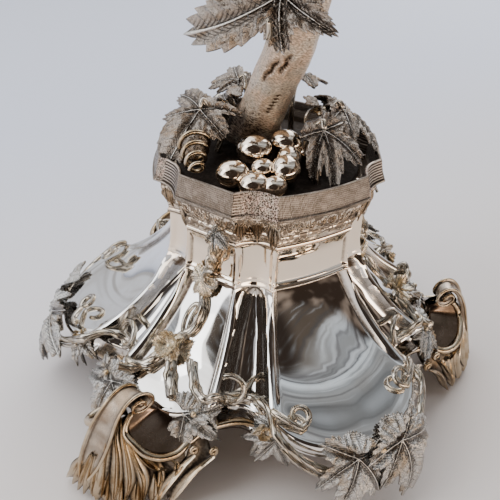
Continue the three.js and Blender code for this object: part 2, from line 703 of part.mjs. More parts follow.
function coilPath() {
  const axis = COIL_END.clone().sub(COIL_START).normalize();
  const side = axis.clone().cross(new THREE.Vector3(0, 0, 1)).normalize();
  const other = axis.clone().cross(side);
  const path = [];
  for (let i = 0; i <= COIL_TURNS * COIL_STEPS; i += 1) {
    const share = i / (COIL_TURNS * COIL_STEPS);
    const turn = (2 * Math.PI * i) / COIL_STEPS;
    const r = lerp(COIL_R, COIL_END_R, share);
    path.push(COIL_START.clone().lerp(COIL_END, share)
      .addScaledVector(side, r * Math.cos(turn))
      .addScaledVector(other, r * Math.sin(turn)));
  }
  return path;
}

// Least free space between one turn and the next, measured on the path's points
function leastGap(path, wireR) {
  let least = Infinity;
  for (let i = 0; i < path.length; i += 1) {
    for (let j = i + Math.floor(COIL_STEPS / 2); j < path.length; j += 1) {
      least = Math.min(least, path[i].distanceTo(path[j]) - 2 * wireR);
    }
  }
  return least;
}

function makeCorkscrew() {
  const path = coilPath();
  console.log(`corkscrew tendril: least gap to itself ${leastGap(path, COIL_WIRE_R).toFixed(2)} mm`);
  return makeMesh('corkscrew_tendril', wireGeometry(path, () => COIL_WIRE_R, 5), polished);
}

// Leaves round the trunk's root, each with a stalk that stands on the mound. Rise is above the deck
const MOUND_LEAVES = {
  left: { angle: -126, r: 27, rise: 40, lean: 72, heading: 0, length: 42, width: 52, curl: 0.12 },
  front: { angle: 52, r: 27, rise: 34, lean: 70, heading: -62, length: 42, width: 52, curl: 0.15 },
  right: { angle: 86, r: 34, rise: 36, lean: 72, heading: 10, length: 34, width: 40, curl: 0.12 },
  rear_right: { angle: 130, r: 34, rise: 44, lean: 66, heading: 0, length: 28, width: 34, curl: 0.2 },
  rear_left: { angle: 178, r: 38, rise: 44, lean: 66, heading: 0, length: 28, width: 34, curl: 0.2 },
};

function makeMoundLeaf([name, { rise, ...place }]) {
  const foot = place.r + 3;
  const z = NECK_TOP_Z + rise;
  const stalk = tubeGeometry([
    polar(place.angle, place.r + 0.5, z),
    polar(place.angle, place.r - 1, z - 8),
    polar(place.angle, foot, moundZ(foot) + GAP + 1),
  ], STALK_R, 5, 4);
  return makeMesh(`mound_leaf_${name}`, join([leafAt({ z, ...place }), stalk]), satin);
}

// The big leaf that grows from the trunk at mid height, on its own stalk
const TRUNK_LEAF_ROOT = 87; // heights above the deck
const TRUNK_LEAF_RISE = 99;

function makeTrunkLeaf() {
  const z = NECK_TOP_Z + TRUNK_LEAF_RISE;
  const place = { angle: -49, r: 38, lean: 76, heading: 18, length: 36, width: 66, curl: 0.15 };
  const stalkR = STALK_R + 0.4;
  const root = trunkCentre(TRUNK_LEAF_ROOT).add(polar(-66, TRUNK_R + stalkR + GAP, 0));
  const stalk = tubeGeometry([
    root,
    root.clone().lerp(polar(place.angle, place.r, z), 0.5).setZ(z - 5),
    polar(place.angle, place.r, z),
  ], stalkR, 5, 5);
  return makeMesh('trunk_leaf', join([leafAt({ z, ...place }), stalk]), satin);
}

// Crown on the trunk's top: a hub with three vine branches that carry the ring
function makeCrown() {
  const hub = cylinderGeometry(CROWN_HUB_R, CROWN_HUB_H, 18, CROWN_Z);
  const seatZ = RING_Z - RING_TUBE_R - GAP - BRANCH_R;
  const branches = LOBE_ANGLES.map((angle) => tubeGeometry([
    polar(angle, 6, CROWN_Z + 9),
    polar(angle, 30, CROWN_Z + 9),
    polar(angle, 60, CROWN_Z + 18),
    polar(angle, RING_R - 3, seatZ),
    polar(angle, RING_R + 6, seatZ),
  ], BRANCH_R, 6, 8));
  const stud = cylinderGeometry(ROD_R + STUD_CLEARANCE, CROWN_STUD_LENGTH + GAP, 16, CROWN_STUD_Z);
  const crown = makeMesh('crown', cut(join([hub, ...branches]), [stud]), bark);
  const rod = makeMesh('crown_stud', cylinderGeometry(ROD_R, CROWN_STUD_LENGTH, 16, CROWN_STUD_Z), brass);
  const ring = makeMesh('bowl_ring', new THREE.TorusGeometry(RING_R, RING_TUBE_R, 6, 28), polished);
  ring.position.z = RING_Z;
  return new THREE.Group().add(crown, rod, ring);
}

// What hangs from each branch: a leaf and a small bunch of grapes
function branchLeafGeometry() {
  const z = CROWN_Z + 9;
  const leaf = leafAt({ angle: 9, r: 52, z: z + 1, lean: 40, heading: 40, length: 38, curl: 0.2 });
  const stalk = tubeGeometry([polar(9, 51, z), polar(8.5, 50, z + 7)], STALK_R, 5, 2);
  return join([leaf, stalk]);
}

const BUNCH_REACH = 40;
const BUNCH_GRAPE_R = 6.4;

function branchGrapesGeometry() {
  const top = CROWN_Z - 6;
  const rows = [{ count: 3, spread: 6.5, drop: 6 }, { count: 1, spread: 0, drop: 15 }];
  const places = rows.flatMap(({ count, spread, drop }) => Array.from({ length: count }, (_, i) => {
    const turn = (2 * Math.PI * i) / count;
    const y = spread * Math.sin(turn) - BUNCH_REACH;
    return [spread * Math.cos(turn), y, top - drop, BUNCH_GRAPE_R];
  }));
  const grapeAt = (r) => new THREE.OctahedronGeometry(r, 1);
  const path = [top + 9, top, top - 18].map((z) => [0, -BUNCH_REACH, z]);
  return bunchGeometry(places, path, grapeAt);
}

// The glass bowl: its wall leans on the ring's inner shoulder
function makeBowl() {
  const seat = (RING_TUBE_R + GAP) / Math.SQRT2;
  const seatR = RING_R - seat;
  const seatZ = RING_Z + seat;
  const baseZ = seatZ - BOWL_DROP;
  const rimZ = baseZ + BOWL_DEPTH;
  const outer = [
    [BOWL_BASE_R, baseZ],
    [seatR - 14, seatZ - 14],
    [seatR, seatZ],
    [seatR + 14, seatZ + 13],
    [lerp(seatR + 14, BOWL_R, 0.6), lerp(seatZ + 13, rimZ, 0.5)],
    [BOWL_R, rimZ],
  ];
  const inner = outer.map(([r, z]) => [r - BOWL_WALL, z + (z > seatZ + 20 ? 0 : BOWL_WALL)]).reverse();
  const profile = [[0, baseZ], ...outer, ...inner, [0, baseZ + BOWL_WALL]];
  const bowl = new THREE.LatheGeometry(profile.map(([r, z]) => new THREE.Vector2(r, z)), 30);
  return makeMesh('glass_bowl', bowl.rotateX(Math.PI / 2), crystal);
}

// Puts a piece that was made about the line at angle 0 on another line
function turned(mesh, angle) {
  mesh.rotation.z = degToRad(angle);
  return mesh;
}

function makeModel() {
  const model = new THREE.Group();
  model.add(makeShell(), makePlinthBand(), makeMound(), makeFastening());
  FOOT_ANGLES.forEach((angle, i) => {
    const name = FOOT_NAMES[i];
    model.add(
      turned(makeMesh(`foot_${name}`, footGeometry(), polished), angle),
      turned(makeMesh(`foot_nut_${name}`, footNutGeometry(), brass), angle),
      turned(makeMesh(`foot_vine_${name}`, footVineGeometry(), satin), angle),
      turned(makeMesh(`garland_${name}_a`, garlandGeometry(-1), satin), angle),
      turned(makeMesh(`garland_${name}_b`, garlandGeometry(1), satin), angle),
    );
  });
  LOBE_ANGLES.forEach((angle, i) => {
    const name = LOBE_NAMES[i];
    model.add(
      turned(makeMesh(`tip_leaves_${name}`, tipLeavesGeometry(), satin), angle),
      turned(makeMesh(`branch_leaf_${name}`, branchLeafGeometry(), satin), angle),
      turned(makeMesh(`branch_grapes_${name}`, branchGrapesGeometry(), polished), angle),
    );
  });
  model.add(makeTrunk(), makeMoundGrapes(), makeCorkscrew(), makeTrunkLeaf(), makeCrown(), makeBowl());
  model.add(...Object.entries(MOUND_LEAVES).map(makeMoundLeaf));
  return model;
}

// The origin is under the middle of the whole piece, on the table
function standOnOrigin(model) {
  model.updateMatrixWorld(true);
  const box = new THREE.Box3().setFromObject(model, true);
  model.position.set(-(box.min.x + box.max.x) / 2, -(box.min.y + box.max.y) / 2, -box.min.z);
  return model;
}

export default new THREE.Group().add(standOnOrigin(makeModel()));
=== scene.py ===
"""A silver vine centrepiece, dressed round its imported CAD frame.

Pieces are shaped in millimetres about the trunk's axis and then put into the frame's metres. An angle in plan
is counted in degrees from -Y towards +X: lobes lie at 0 and 120 degrees either way, feet at 60, 180 and -60.
"""

import json
import logging
from collections.abc import Callable, Sequence
from dataclasses import dataclass
from enum import Enum
from math import atan2, cos, degrees, exp, hypot, pi, radians, sin, sqrt

import bmesh
import bpy
from mathutils import Matrix, Vector, noise

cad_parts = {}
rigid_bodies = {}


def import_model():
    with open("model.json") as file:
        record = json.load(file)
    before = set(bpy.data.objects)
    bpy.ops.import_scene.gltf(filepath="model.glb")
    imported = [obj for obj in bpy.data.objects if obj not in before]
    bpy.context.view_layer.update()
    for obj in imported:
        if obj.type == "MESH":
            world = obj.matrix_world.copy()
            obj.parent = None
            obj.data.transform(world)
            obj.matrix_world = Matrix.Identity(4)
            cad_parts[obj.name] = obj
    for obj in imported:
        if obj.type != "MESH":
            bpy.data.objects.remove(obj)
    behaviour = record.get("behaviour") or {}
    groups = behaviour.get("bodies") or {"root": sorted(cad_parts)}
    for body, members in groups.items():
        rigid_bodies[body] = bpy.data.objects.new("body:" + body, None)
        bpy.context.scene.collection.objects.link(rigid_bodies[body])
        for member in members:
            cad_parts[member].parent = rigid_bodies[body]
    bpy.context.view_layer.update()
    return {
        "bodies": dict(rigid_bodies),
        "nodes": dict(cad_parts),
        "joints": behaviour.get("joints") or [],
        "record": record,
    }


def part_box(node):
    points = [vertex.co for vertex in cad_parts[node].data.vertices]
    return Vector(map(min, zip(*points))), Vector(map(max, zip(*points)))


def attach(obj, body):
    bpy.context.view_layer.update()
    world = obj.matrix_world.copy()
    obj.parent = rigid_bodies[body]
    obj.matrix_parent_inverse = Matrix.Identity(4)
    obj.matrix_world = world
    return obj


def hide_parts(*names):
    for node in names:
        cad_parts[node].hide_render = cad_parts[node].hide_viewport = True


LOG = logging.getLogger("centrepiece")
MM = 0.001

LOBES = {"front": 0, "right": 120, "left": -120}
FEET = {"left": -60, "right": 60, "rear": 180}
UP = Vector((0, 0, 1))
SOLDER_GAP = 0.35

Pair = tuple[float, float]
Triple = tuple[float, float, float]
Colour = Triple
Place = Callable[[float, float], Vector]
Shade = Callable[[float, float], float]
Chart = Callable[[float, float], Pair]


class Body(Enum):
    """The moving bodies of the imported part."""

    BASE = "base"
    BOWL = "bowl"


class Slot(Enum):
    """The record's material slots."""

    POLISHED = "polished_silver"
    FROSTED = "frosted_silver"
    ENGRAVED = "engraved_silver"
    BARK = "bark_silver"
    BRASS = "brass_fastening"
    GLASS = "cut_glass"


def lerp(a: float, b: float, t: float) -> float:
    """Value a share t of the way from a to b."""
    return a + (b - a) * t


def clamp(value: float, low: float = 0, high: float = 1) -> float:
    """Value held between two limits."""
    return min(max(value, low), high)


def smooth(value: float, low: float, high: float) -> float:
    """Smooth step from 0 at low to 1 at high."""
    t = clamp((value - low) / (high - low))
    return t * t * (3 - 2 * t)


def bump(value: float, middle: float, width: float) -> float:
    """Bell curve of height 1 round a middle value."""
    return exp(-(((value - middle) / width) ** 2))


def along_rows(rows: Sequence[Sequence[float]], t: float) -> list[float]:
    """Straight-line values at t between rows.

    Args:
        rows: Rows of t and the values there, in rising order of t.
        t: Where to read.

    Returns:
        The values, held at both ends.
    """
    if t <= rows[0][0]:
        return list(rows[0][1:])
    for low, high in zip(rows, rows[1:]):
        if t <= high[0]:
            share = (t - low[0]) / (high[0] - low[0])
            return [lerp(a, b, share) for a, b in zip(low[1:], high[1:])]
    return list(rows[-1][1:])


def polar(angle: float, r: float, z: float) -> Vector:
    """Point at a plan angle in degrees, a distance from the axis and a height."""
    turn = radians(angle)
    return Vector((r * sin(turn), -r * cos(turn), z))


def grain(point: Vector, size: float, seed: float = 0) -> float:
    """Smooth noise from -1 to 1 with features of about a size in millimetres."""
    return noise.noise(point / size + Vector((seed, 7.3 * seed, -3.1 * seed)))


def spline(points: Sequence[Vector], step: float, closed: bool = False) -> list[Vector]:
    """Even points along a smooth curve through given points.

    Args:
        points: Points that the curve passes.
        step: Distance between the points that come back.
        closed: Whether the curve returns to its start.

    Returns:
        Points about a step apart, with both ends kept.
    """
    count = len(points)
    spans = count if closed else count - 1
    dense: list[Vector] = []
    for i in range(spans):
        p0, p1, p2, p3 = (points[(i + k) % count if closed else clamp(i + k, 0, count - 1)] for k in (-1, 0, 1, 2))
        for k in range(12):
            t = k / 12
            dense.append(0.5 * (2 * p1 + (p2 - p0) * t + (2 * p0 - 5 * p1 + 4 * p2 - p3) * t * t
                                + (3 * p1 - p0 - 3 * p2 + p3) * t ** 3))
    dense.append(points[0].copy() if closed else points[-1].copy())
    lengths = [0]
    for a, b in zip(dense, dense[1:]):
        lengths.append(lengths[-1] + (b - a).length)
    pieces = max(round(lengths[-1] / step), 2)
    even: list[Vector] = []
    k = 0
    for i in range(pieces + 1):
        want = lengths[-1] * i / pieces
        while k < len(lengths) - 2 and lengths[k + 1] < want:
            k += 1
        span = lengths[k + 1] - lengths[k] or 1
        even.append(dense[k].lerp(dense[k + 1], (want - lengths[k]) / span))
    return even


def frames(path: Sequence[Vector], up: Vector | None = None) -> list[tuple[Vector, Vector, Vector]]:
    """Direction, side and upright of a path at each of its points, without sudden turns.

    Args:
        path: Points of the path.
        up: Direction that the first upright leans to.

    Returns:
        One (along, side, upright) triple for each point.
    """
    result: list[tuple[Vector, Vector, Vector]] = []
    upright = up or UP
    for i in range(len(path)):
        along = (path[min(i + 1, len(path) - 1)] - path[max(i - 1, 0)]).normalized()
        flat = upright - along * upright.dot(along)
        if flat.length < 1e-4:
            flat = along.orthogonal()
        upright = flat.normalized()
        result.append((along, along.cross(upright), upright))
    return result


class Signal:
    """A shader socket that takes part in arithmetic."""

    def __init__(self, net: "Net", socket: bpy.types.NodeSocket) -> None:
        """Wraps a socket of a net."""
        self.net = net
        self.socket = socket

    def math(self, operation: str, *values: "Signal | float") -> "Signal":
        """Adds a Math node on the given values."""
        return self.net.node("Math", dict(enumerate(values)), operation=operation)

    def __add__(self, other: "Signal | float") -> "Signal":
        """Sum."""
        return self.math("ADD", self, other)

    def __radd__(self, other: float) -> "Signal":
        """Sum with a number on the left."""
        return self.math("ADD", other, self)

    def __sub__(self, other: "Signal | float") -> "Signal":
        """Difference."""
        return self.math("SUBTRACT", self, other)

    def __rsub__(self, other: float) -> "Signal":
        """Difference from a number."""
        return self.math("SUBTRACT", other, self)

    def __mul__(self, other: "Signal | float") -> "Signal":
        """Product."""
        return self.math("MULTIPLY", self, other)

    def __rmul__(self, other: float) -> "Signal":
        """Product with a number on the left."""
        return self.math("MULTIPLY", other, self)

    def __abs__(self) -> "Signal":
        """Size without sign."""
        return self.math("ABSOLUTE", self)

    def fraction(self) -> "Signal":
        """Part after the decimal point."""
        return self.math("FRACT", self)

    def least(self, other: "Signal | float") -> "Signal":
        """The lesser of two values."""
        return self.math("MINIMUM", self, other)

    def greatest(self, other: "Signal | float") -> "Signal":
        """The greater of two values."""
        return self.math("MAXIMUM", self, other)

    def step(self, low: float, high: float) -> "Signal":
        """Smooth step from 0 at low to 1 at high, which may be given falling.

        Args:
            low: Where it is 0.
            high: Where it is 1.

        Returns:
            The step.
        """
        falls = float(low > high)
        values = {"Value": self, "From Min": min(low, high), "From Max": max(low, high), "To Min": falls,
            "To Max": 1 - falls}
        return self.net.node("MapRange", values, interpolation_type="SMOOTHSTEP")


class Net:
    """The nodes of one material or of the world."""

    def __init__(self, owner: bpy.types.ID) -> None:
        """Empties an owner's node tree and keeps it.

        Args:
            owner: Material or world.
        """
        owner.use_nodes = True
        self.tree = owner.node_tree
        self.tree.nodes.clear()

    def node(self, kind: str, values: dict, output: int | str = 0, **settings: str | Sequence) -> Signal:
        """Adds a node.

        Args:
            kind: Node type, without the words that all shader nodes share.
            values: Numbers, colours or signals by socket name, identifier or place.
            output: Which output comes back.
            settings: Properties, which are set first. "stops" fills a colour ramp.

        Returns:
            The chosen output.
        """
        made = self.tree.nodes.new(f"ShaderNode{kind}")
        for key, value in settings.items():
            if key == "stops":
                self._fill_ramp(made.color_ramp, value)
            else:
                setattr(made, key, value)
        for key, value in values.items():
            socket = self._find(made.inputs, key)
            if isinstance(value, Signal):
                self.tree.links.new(value.socket, socket)
            else:
                socket.default_value = value
        return Signal(self, self._find(made.outputs, output))

    @staticmethod
    def _find(sockets: bpy.types.bpy_prop_collection, key: int | str) -> bpy.types.NodeSocket:
        """Socket by place, identifier or name."""
        known = {socket.identifier: socket for socket in sockets}
        return known[key] if key in known else sockets[key]

    @staticmethod
    def _fill_ramp(ramp: bpy.types.ColorRamp, stops: Sequence[tuple[float, tuple]]) -> None:
        """Sets a colour ramp's stops.

        Args:
            ramp: The ramp.
            stops: Places and colours.
        """
        while len(ramp.elements) < len(stops):
            ramp.elements.new(1)
        for element, (place, colour) in zip(ramp.elements, stops):
            element.position = place
            element.color = (*colour, 1)

    def mix(self, factor: Signal | float, a: Signal | tuple, b: Signal | tuple) -> Signal:
        """Mixes two colours, the second by the factor.

        Args:
            factor: Share of the second.
            a: First colour.
            b: Second colour.

        Returns:
            The mixed colour.
        """
        first, second = (c if isinstance(c, Signal) else (*c, 1) for c in (a, b))
        values = {"Factor_Float": factor, "A_Color": first, "B_Color": second}
        return self.node("Mix", values, "Result_Color", data_type="RGBA")

    def place(self) -> Signal:
        """Object coordinates, in metres."""
        return self.node("TexCoord", {}, "Object")

    def map(self) -> tuple[Signal, Signal]:
        """The two coordinates of the piece's own map."""
        uv = self.node("UVMap", {}, uv_map="UVMap")
        return self.part(uv, "X"), self.part(uv, "Y")

    def part(self, vector: Signal, name: str) -> Signal:
        """The X, Y or Z of a vector."""
        return self.node("SeparateXYZ", {0: vector}, name)

    def layer(self, name: str) -> Signal:
        """A value that the mesh carries on its vertices."""
        return self.node("Attribute", {}, "Fac", attribute_name=name)

    def noise(self, size: float, detail: float, distortion: float = 0) -> Signal:
        """Noise from 0 to 1 with features of about a size in millimetres."""
        values = {"Vector": self.place(), "Scale": 1 / (size * MM), "Detail": detail, "Distortion": distortion}
        return self.node("TexNoise", values)

    def stretched_noise(self, x: Signal, y: Signal) -> Signal:
        """Noise over two coordinates with scales of their own."""
        where = self.node("CombineXYZ", {"X": x, "Y": y})
        return self.node("TexNoise", {"Vector": where, "Scale": 1, "Detail": 2})

    def relief(self, height: Signal, depth: float) -> Signal:
        """A normal from a height from 0 to 1, at a depth in millimetres."""
        return self.node("Bump", {"Height": height, "Distance": depth * MM})

    def close(self, shader: Signal, end: str = "OutputMaterial") -> None:
        """Joins the last shader to the net's output node."""
        self.tree.links.new(shader.socket, self.tree.nodes.new(f"ShaderNode{end}").inputs["Surface"])


# Light and dark streaks that the silver mirrors, from low to high.
STREAKS = ((0, (0.1, 0.08, 0.065)), (0.29, (0.1, 0.08, 0.065)), (0.33, (0.2, 0.19, 0.18)), (0.37, (0.34, 0.35, 0.36)),
    (0.41, (0.15, 0.15, 0.16)), (0.44, (0.32, 0.34, 0.36)), (0.475, (0.13, 0.13, 0.14)), (0.505, (0.38, 0.4, 0.43)),
    (0.522, (0.05, 0.05, 0.055)), (0.537, (0.6, 0.66, 0.72)), (0.6, (0.74, 0.81, 0.88)), (0.65, (0.52, 0.56, 0.6)),
    (0.68, (0.29, 0.31, 0.33)), (0.75, (0.34, 0.35, 0.36)), (0.81, (0.24, 0.25, 0.26)), (0.85, (0.18, 0.19, 0.2)),
    (0.89, (0.48, 0.52, 0.57)), (0.94, (0.95, 1, 1.1)))
WARM_OXIDE = (0.1, 0.068, 0.045)
DARK_OXIDE = (0.035, 0.027, 0.022)


@dataclass(frozen=True)
class Finish:
    """A finish of the piece: metal, unless its values say otherwise."""

    name: str

    def values(self, net: Net) -> dict[str, "Signal | float"]:
        """Values of the shader's sockets."""
        raise NotImplementedError

    def material(self) -> bpy.types.Material:
        """The finish's material, built when it is first asked for.

        Returns:
            The material.
        """
        made = bpy.data.materials.get(self.name)
        if not made:
            made = bpy.data.materials.new(self.name)
            net = Net(made)
            net.close(net.node("BsdfPrincipled", {"Metallic": 1} | self.values(net)))
        return made


@dataclass(frozen=True)
class Silver(Finish):
    """Silver plate: polished or frosted, with oxide in its recesses. A painted warm reflection tints it above the
    step's height.
    """

    colour: Colour
    tint: Colour
    gloss: float
    oxide: Colour = WARM_OXIDE
    stipple: float = 0.0
    painted_warm_reflection: bool = False

    def values(self, net: Net) -> dict[str, Signal | float]:
        """Clouded colour, stained by the patina and in the chased ground, with a painted warm reflection above the
        step's height.
        """
        patina = net.layer("patina")
        cloud = net.noise(14, 3)
        fine = net.noise(1.6, 3)
        colour = net.mix(cloud.step(0.38, 0.66), self.colour, self.tint)
        # Painted warm reflection: above the step's height the colour is tinted warm, standing in for warm
        # surroundings mirrored in the silver.
        if self.painted_warm_reflection:
            high = net.part(net.place(), "Z").step(0.098, 0.118)
            colour = net.mix(high * (0.75 + 0.25 * net.noise(22, 2)), colour, (0.93, 0.78, 0.615))
        chase = net.layer("chased") * net.noise(5.2, 3, distortion=2.2).step(0.46, 0.55)
        stain = (patina * (0.6 + 0.8 * fine)).step(0.12, 0.95).greatest(chase * 0.85)
        return {
            "Base Color": net.mix(stain, colour, self.oxide),
            "Roughness": self.gloss * (0.7 + 0.7 * cloud) + 0.35 * stain,
            "Normal": net.relief(net.noise(0.55, 2) if self.stipple else 1 - chase, self.stipple or 0.4),
        }


@dataclass(frozen=True)
class VeinedLeaf(Finish):
    """Frosted leaf with raised bright veins. Its map runs along and across each blade."""

    name: str = "veined leaf"
    light: Colour = (0.52, 0.505, 0.48)
    warm: Colour = (0.42, 0.34, 0.25)

    def values(self, net: Net) -> dict[str, Signal | float]:
        """Bright main and side veins over a dull, mottled blade."""
        patina = net.layer("patina")
        along, across = net.map()
        main = across.step(0.02, 0.004)
        rib = ((along - 0.85 * across) * 7).fraction()
        side = abs(rib - 0.5).step(0.07, 0) * across.step(0.42, 0.2)
        fine = abs(((along * 0.6 + across) * 26).fraction() - 0.5).step(0.3, 0.1)
        vein = main.greatest(side * 0.6)
        grit = net.noise(0.5, 2)
        cloud = net.noise(9, 3)
        colour = net.mix(cloud.step(0.5, 0.72), self.light, self.warm)
        dull = (patina * (0.6 + grit) + 0.25 * fine + 0.5 * (cloud - 0.45)).step(0.12, 0.85) * (1 - vein * 0.8)
        colour = net.mix(dull, colour, DARK_OXIDE)
        return {
            "Base Color": net.mix(vein * 0.6, colour, (0.84, 0.82, 0.78)),
            "Roughness": 0.25 - 0.1 * vein + 0.2 * (grit - 0.5),
            "Normal": net.relief(vein * 0.8 + grit * 0.45 + 0.9 * net.noise(3, 2), 0.8),
        }


@dataclass(frozen=True)
class TwistedStem(Finish):
    """Frosted vine stem with long twisted furrows. Its map runs round and along the stem."""

    name: str = "twisted stem"

    def values(self, net: Net) -> dict[str, Signal | float]:
        """Oxide in furrows that wind along the stem."""
        patina = net.layer("patina")
        around, along = net.map()
        furrow = (around * 5 + along * 0.9 + net.noise(5, 2) * 0.8).fraction() - 0.5
        ridge = abs(furrow).step(0.5, 0.32)
        colour = net.mix(net.noise(7, 2).step(0.4, 0.7), (0.58, 0.53, 0.46), (0.52, 0.44, 0.33))
        dull = ((1 - ridge) * 0.7 + patina * 0.8).step(0.25, 1)
        return {
            "Base Color": net.mix(dull, colour, (0.045, 0.033, 0.025)),
            "Roughness": 0.2 + 0.3 * dull,
            "Normal": net.relief(ridge + 0.2 * net.noise(0.6, 2), 0.35),
        }


@dataclass(frozen=True)
class EngravedBand(Finish):
    """Dull plate with fine slanted hatching on its sides and lines across its hollows.

    The map's first coordinate is the length round the band in millimetres over 10, the second the share of its
    height. The layer "scoop" is 1 on the hollow corners.
    """

    name: str = "engraved band"

    def values(self, net: Net) -> dict[str, Signal | float]:
        """Hatched sides, and corners that are half ruled and half stippled."""
        patina = net.layer("patina")
        scoop = net.layer("scoop")
        around, up = net.map()
        shake = net.noise(3, 2)
        slant = abs((around * 14 + up * 3.2 + shake * 1.6).fraction() - 0.5).step(0.44, 0.16)
        cross = abs((up * 13 + around * 0.4 + shake).fraction() - 0.5).step(0.42, 0.2)
        hatch = (slant + 0.3 * cross) * (0.3 + net.noise(4, 3))
        lines = abs((up * 9 + shake * 0.5).fraction() - 0.5).step(0.4, 0.15)
        stipple = net.noise(0.7, 3).step(0.42, 0.6)
        left = (around * 0.25).fraction().step(0.3, 0.6)
        corner = lines * (1 - left) + stipple * left
        cut = hatch * (1 - scoop) + corner * scoop
        colour = net.mix(net.noise(8, 3).step(0.4, 0.7), (0.64, 0.55, 0.465), (0.56, 0.47, 0.39))
        rosy = (scoop * left) * net.noise(2.6, 2).step(0.45, 0.6)
        colour = net.mix(rosy * 0.7, colour, (0.78, 0.56, 0.46))
        dull = (cut * 0.95 + patina * 0.8).least(1)
        return {
            "Base Color": net.mix(dull, colour, (0.05, 0.038, 0.03)),
            "Roughness": 0.34 + 0.2 * cut,
            "Normal": net.relief(1 - cut, 0.16),
        }


@dataclass(frozen=True)
class Bark(Finish):
    """Frosted bark with short cross lines and dark pits. Its map runs round and along the trunk."""

    name: str = "bark"

    def values(self, net: Net) -> dict[str, Signal | float]:
        """Oxide in short dashes, pits and the patina."""
        patina = net.layer("patina")
        around, along = net.map()
        dash = net.stretched_noise(around * 44, along * 17).step(0.42, 0.58)
        pit = net.noise(2.4, 3).step(0.62, 0.74)
        colour = net.mix(net.noise(11, 3).step(0.4, 0.66), (0.86, 0.65, 0.48), (0.78, 0.67, 0.54))
        dull = (dash * 0.46 + pit * 0.5 + patina * 0.9).least(1)
        return {
            "Base Color": net.mix(dull, colour, (0.07, 0.047, 0.033)),
            "Roughness": 0.36 + 0.24 * dull,
            "Normal": net.relief(1 - (dash * 0.5).greatest(pit), 0.4),
        }


@dataclass(frozen=True)
class Brass(Finish):
    """Plain turned brass, slightly dull."""

    name: str = "turned brass"

    def values(self, net: Net) -> dict[str, Signal | float]:
        """Clouded brass with a fine grain."""
        cloud = net.noise(6, 3)
        return {
            "Base Color": net.mix(cloud.step(0.35, 0.7), (0.62, 0.47, 0.22), (0.42, 0.31, 0.15)),
            "Roughness": 0.28 + 0.2 * cloud,
            "Normal": net.relief(net.noise(0.4, 2), 0.03),
        }


@dataclass(frozen=True)
class CutGlass(Finish):
    """Clear cut glass that lets most of the light through."""

    name: str = "cut glass"
    ior: float = 1.5

    def values(self, net: Net) -> dict[str, Signal | float]:
        """Nearly clear where it is seen square on, denser at its edges."""
        cloud = net.noise(30, 2)
        edge = net.node("Fresnel", {"IOR": self.ior})
        return {
            "Base Color": net.mix(cloud, (0.93, 0.96, 0.96), (0.97, 0.99, 0.99)),
            "Roughness": 0.02 + 0.05 * cloud,
            "Metallic": 0,
            "IOR": self.ior,
            "Alpha": 0.18 + 0.65 * edge,
        }


@dataclass(frozen=True)
class Paper(Finish):
    """The pale paper of the studio's floor, with painted light: warmer and brighter in front, cooler and darker
    behind.
    """

    name: str = "paper"

    def values(self, net: Net) -> dict[str, Signal | float]:
        """Matt colour with a painted light falloff from the front to the back."""
        cloud = net.noise(400, 2)
        # Painted light: the paper's colour fades from a warm, brighter front to a cooler, darker back.
        back = net.part(net.place(), "Y").step(-0.15, 0.5)
        return {
            "Base Color": net.mix(back, (0.94, 0.865, 0.82), (0.755, 0.79, 0.92)),
            "Roughness": 0.75 + 0.1 * cloud,
            "Metallic": 0,
        }


class Look(Enum):
    """Every finish of the piece."""

    # Its painted warm reflection tints every polished piece above the step's height.
    POLISHED = Silver("polished silver", (0.9, 0.885, 0.86), (0.85, 0.82, 0.78), 0.05, painted_warm_reflection=True)
    FROSTED = Silver("frosted silver", (0.4, 0.345, 0.285), (0.25, 0.185, 0.13), 0.2, DARK_OXIDE, 0.12)
    SMOKED_GILT = Silver("smoked gilt silver", (0.46, 0.39, 0.31), (0.3, 0.21, 0.13), 0.2, DARK_OXIDE, 0.2)
    BUD = Silver("bud silver", (0.88, 0.8, 0.66), (0.6, 0.46, 0.28), 0.12, DARK_OXIDE, 0.35)
    GILT = Silver("gilt-tinted silver", (0.6, 0.5, 0.37), (0.38, 0.27, 0.155), 0.14, DARK_OXIDE, 0.08)
    UMBER = Silver("smoked silver", (0.25, 0.18, 0.135), (0.12, 0.085, 0.06), 0.09)
    DARK_GILT = Silver("dark gilt silver", (0.26, 0.19, 0.125), (0.13, 0.09, 0.06), 0.3, DARK_OXIDE, 0.2)
    DARK = Silver("oxidised silver", (0.1, 0.075, 0.06), (0.05, 0.04, 0.032), 0.45, DARK_OXIDE, 0.2)
    LEAF = VeinedLeaf()
    BRONZE_LEAF = VeinedLeaf("veined bronze leaf", (0.33, 0.285, 0.245), (0.33, 0.24, 0.165))
    STEM = TwistedStem()
    BAND = EngravedBand()
    BARK = Bark()
    BRASS = Brass()
    GLASS = CutGlass()


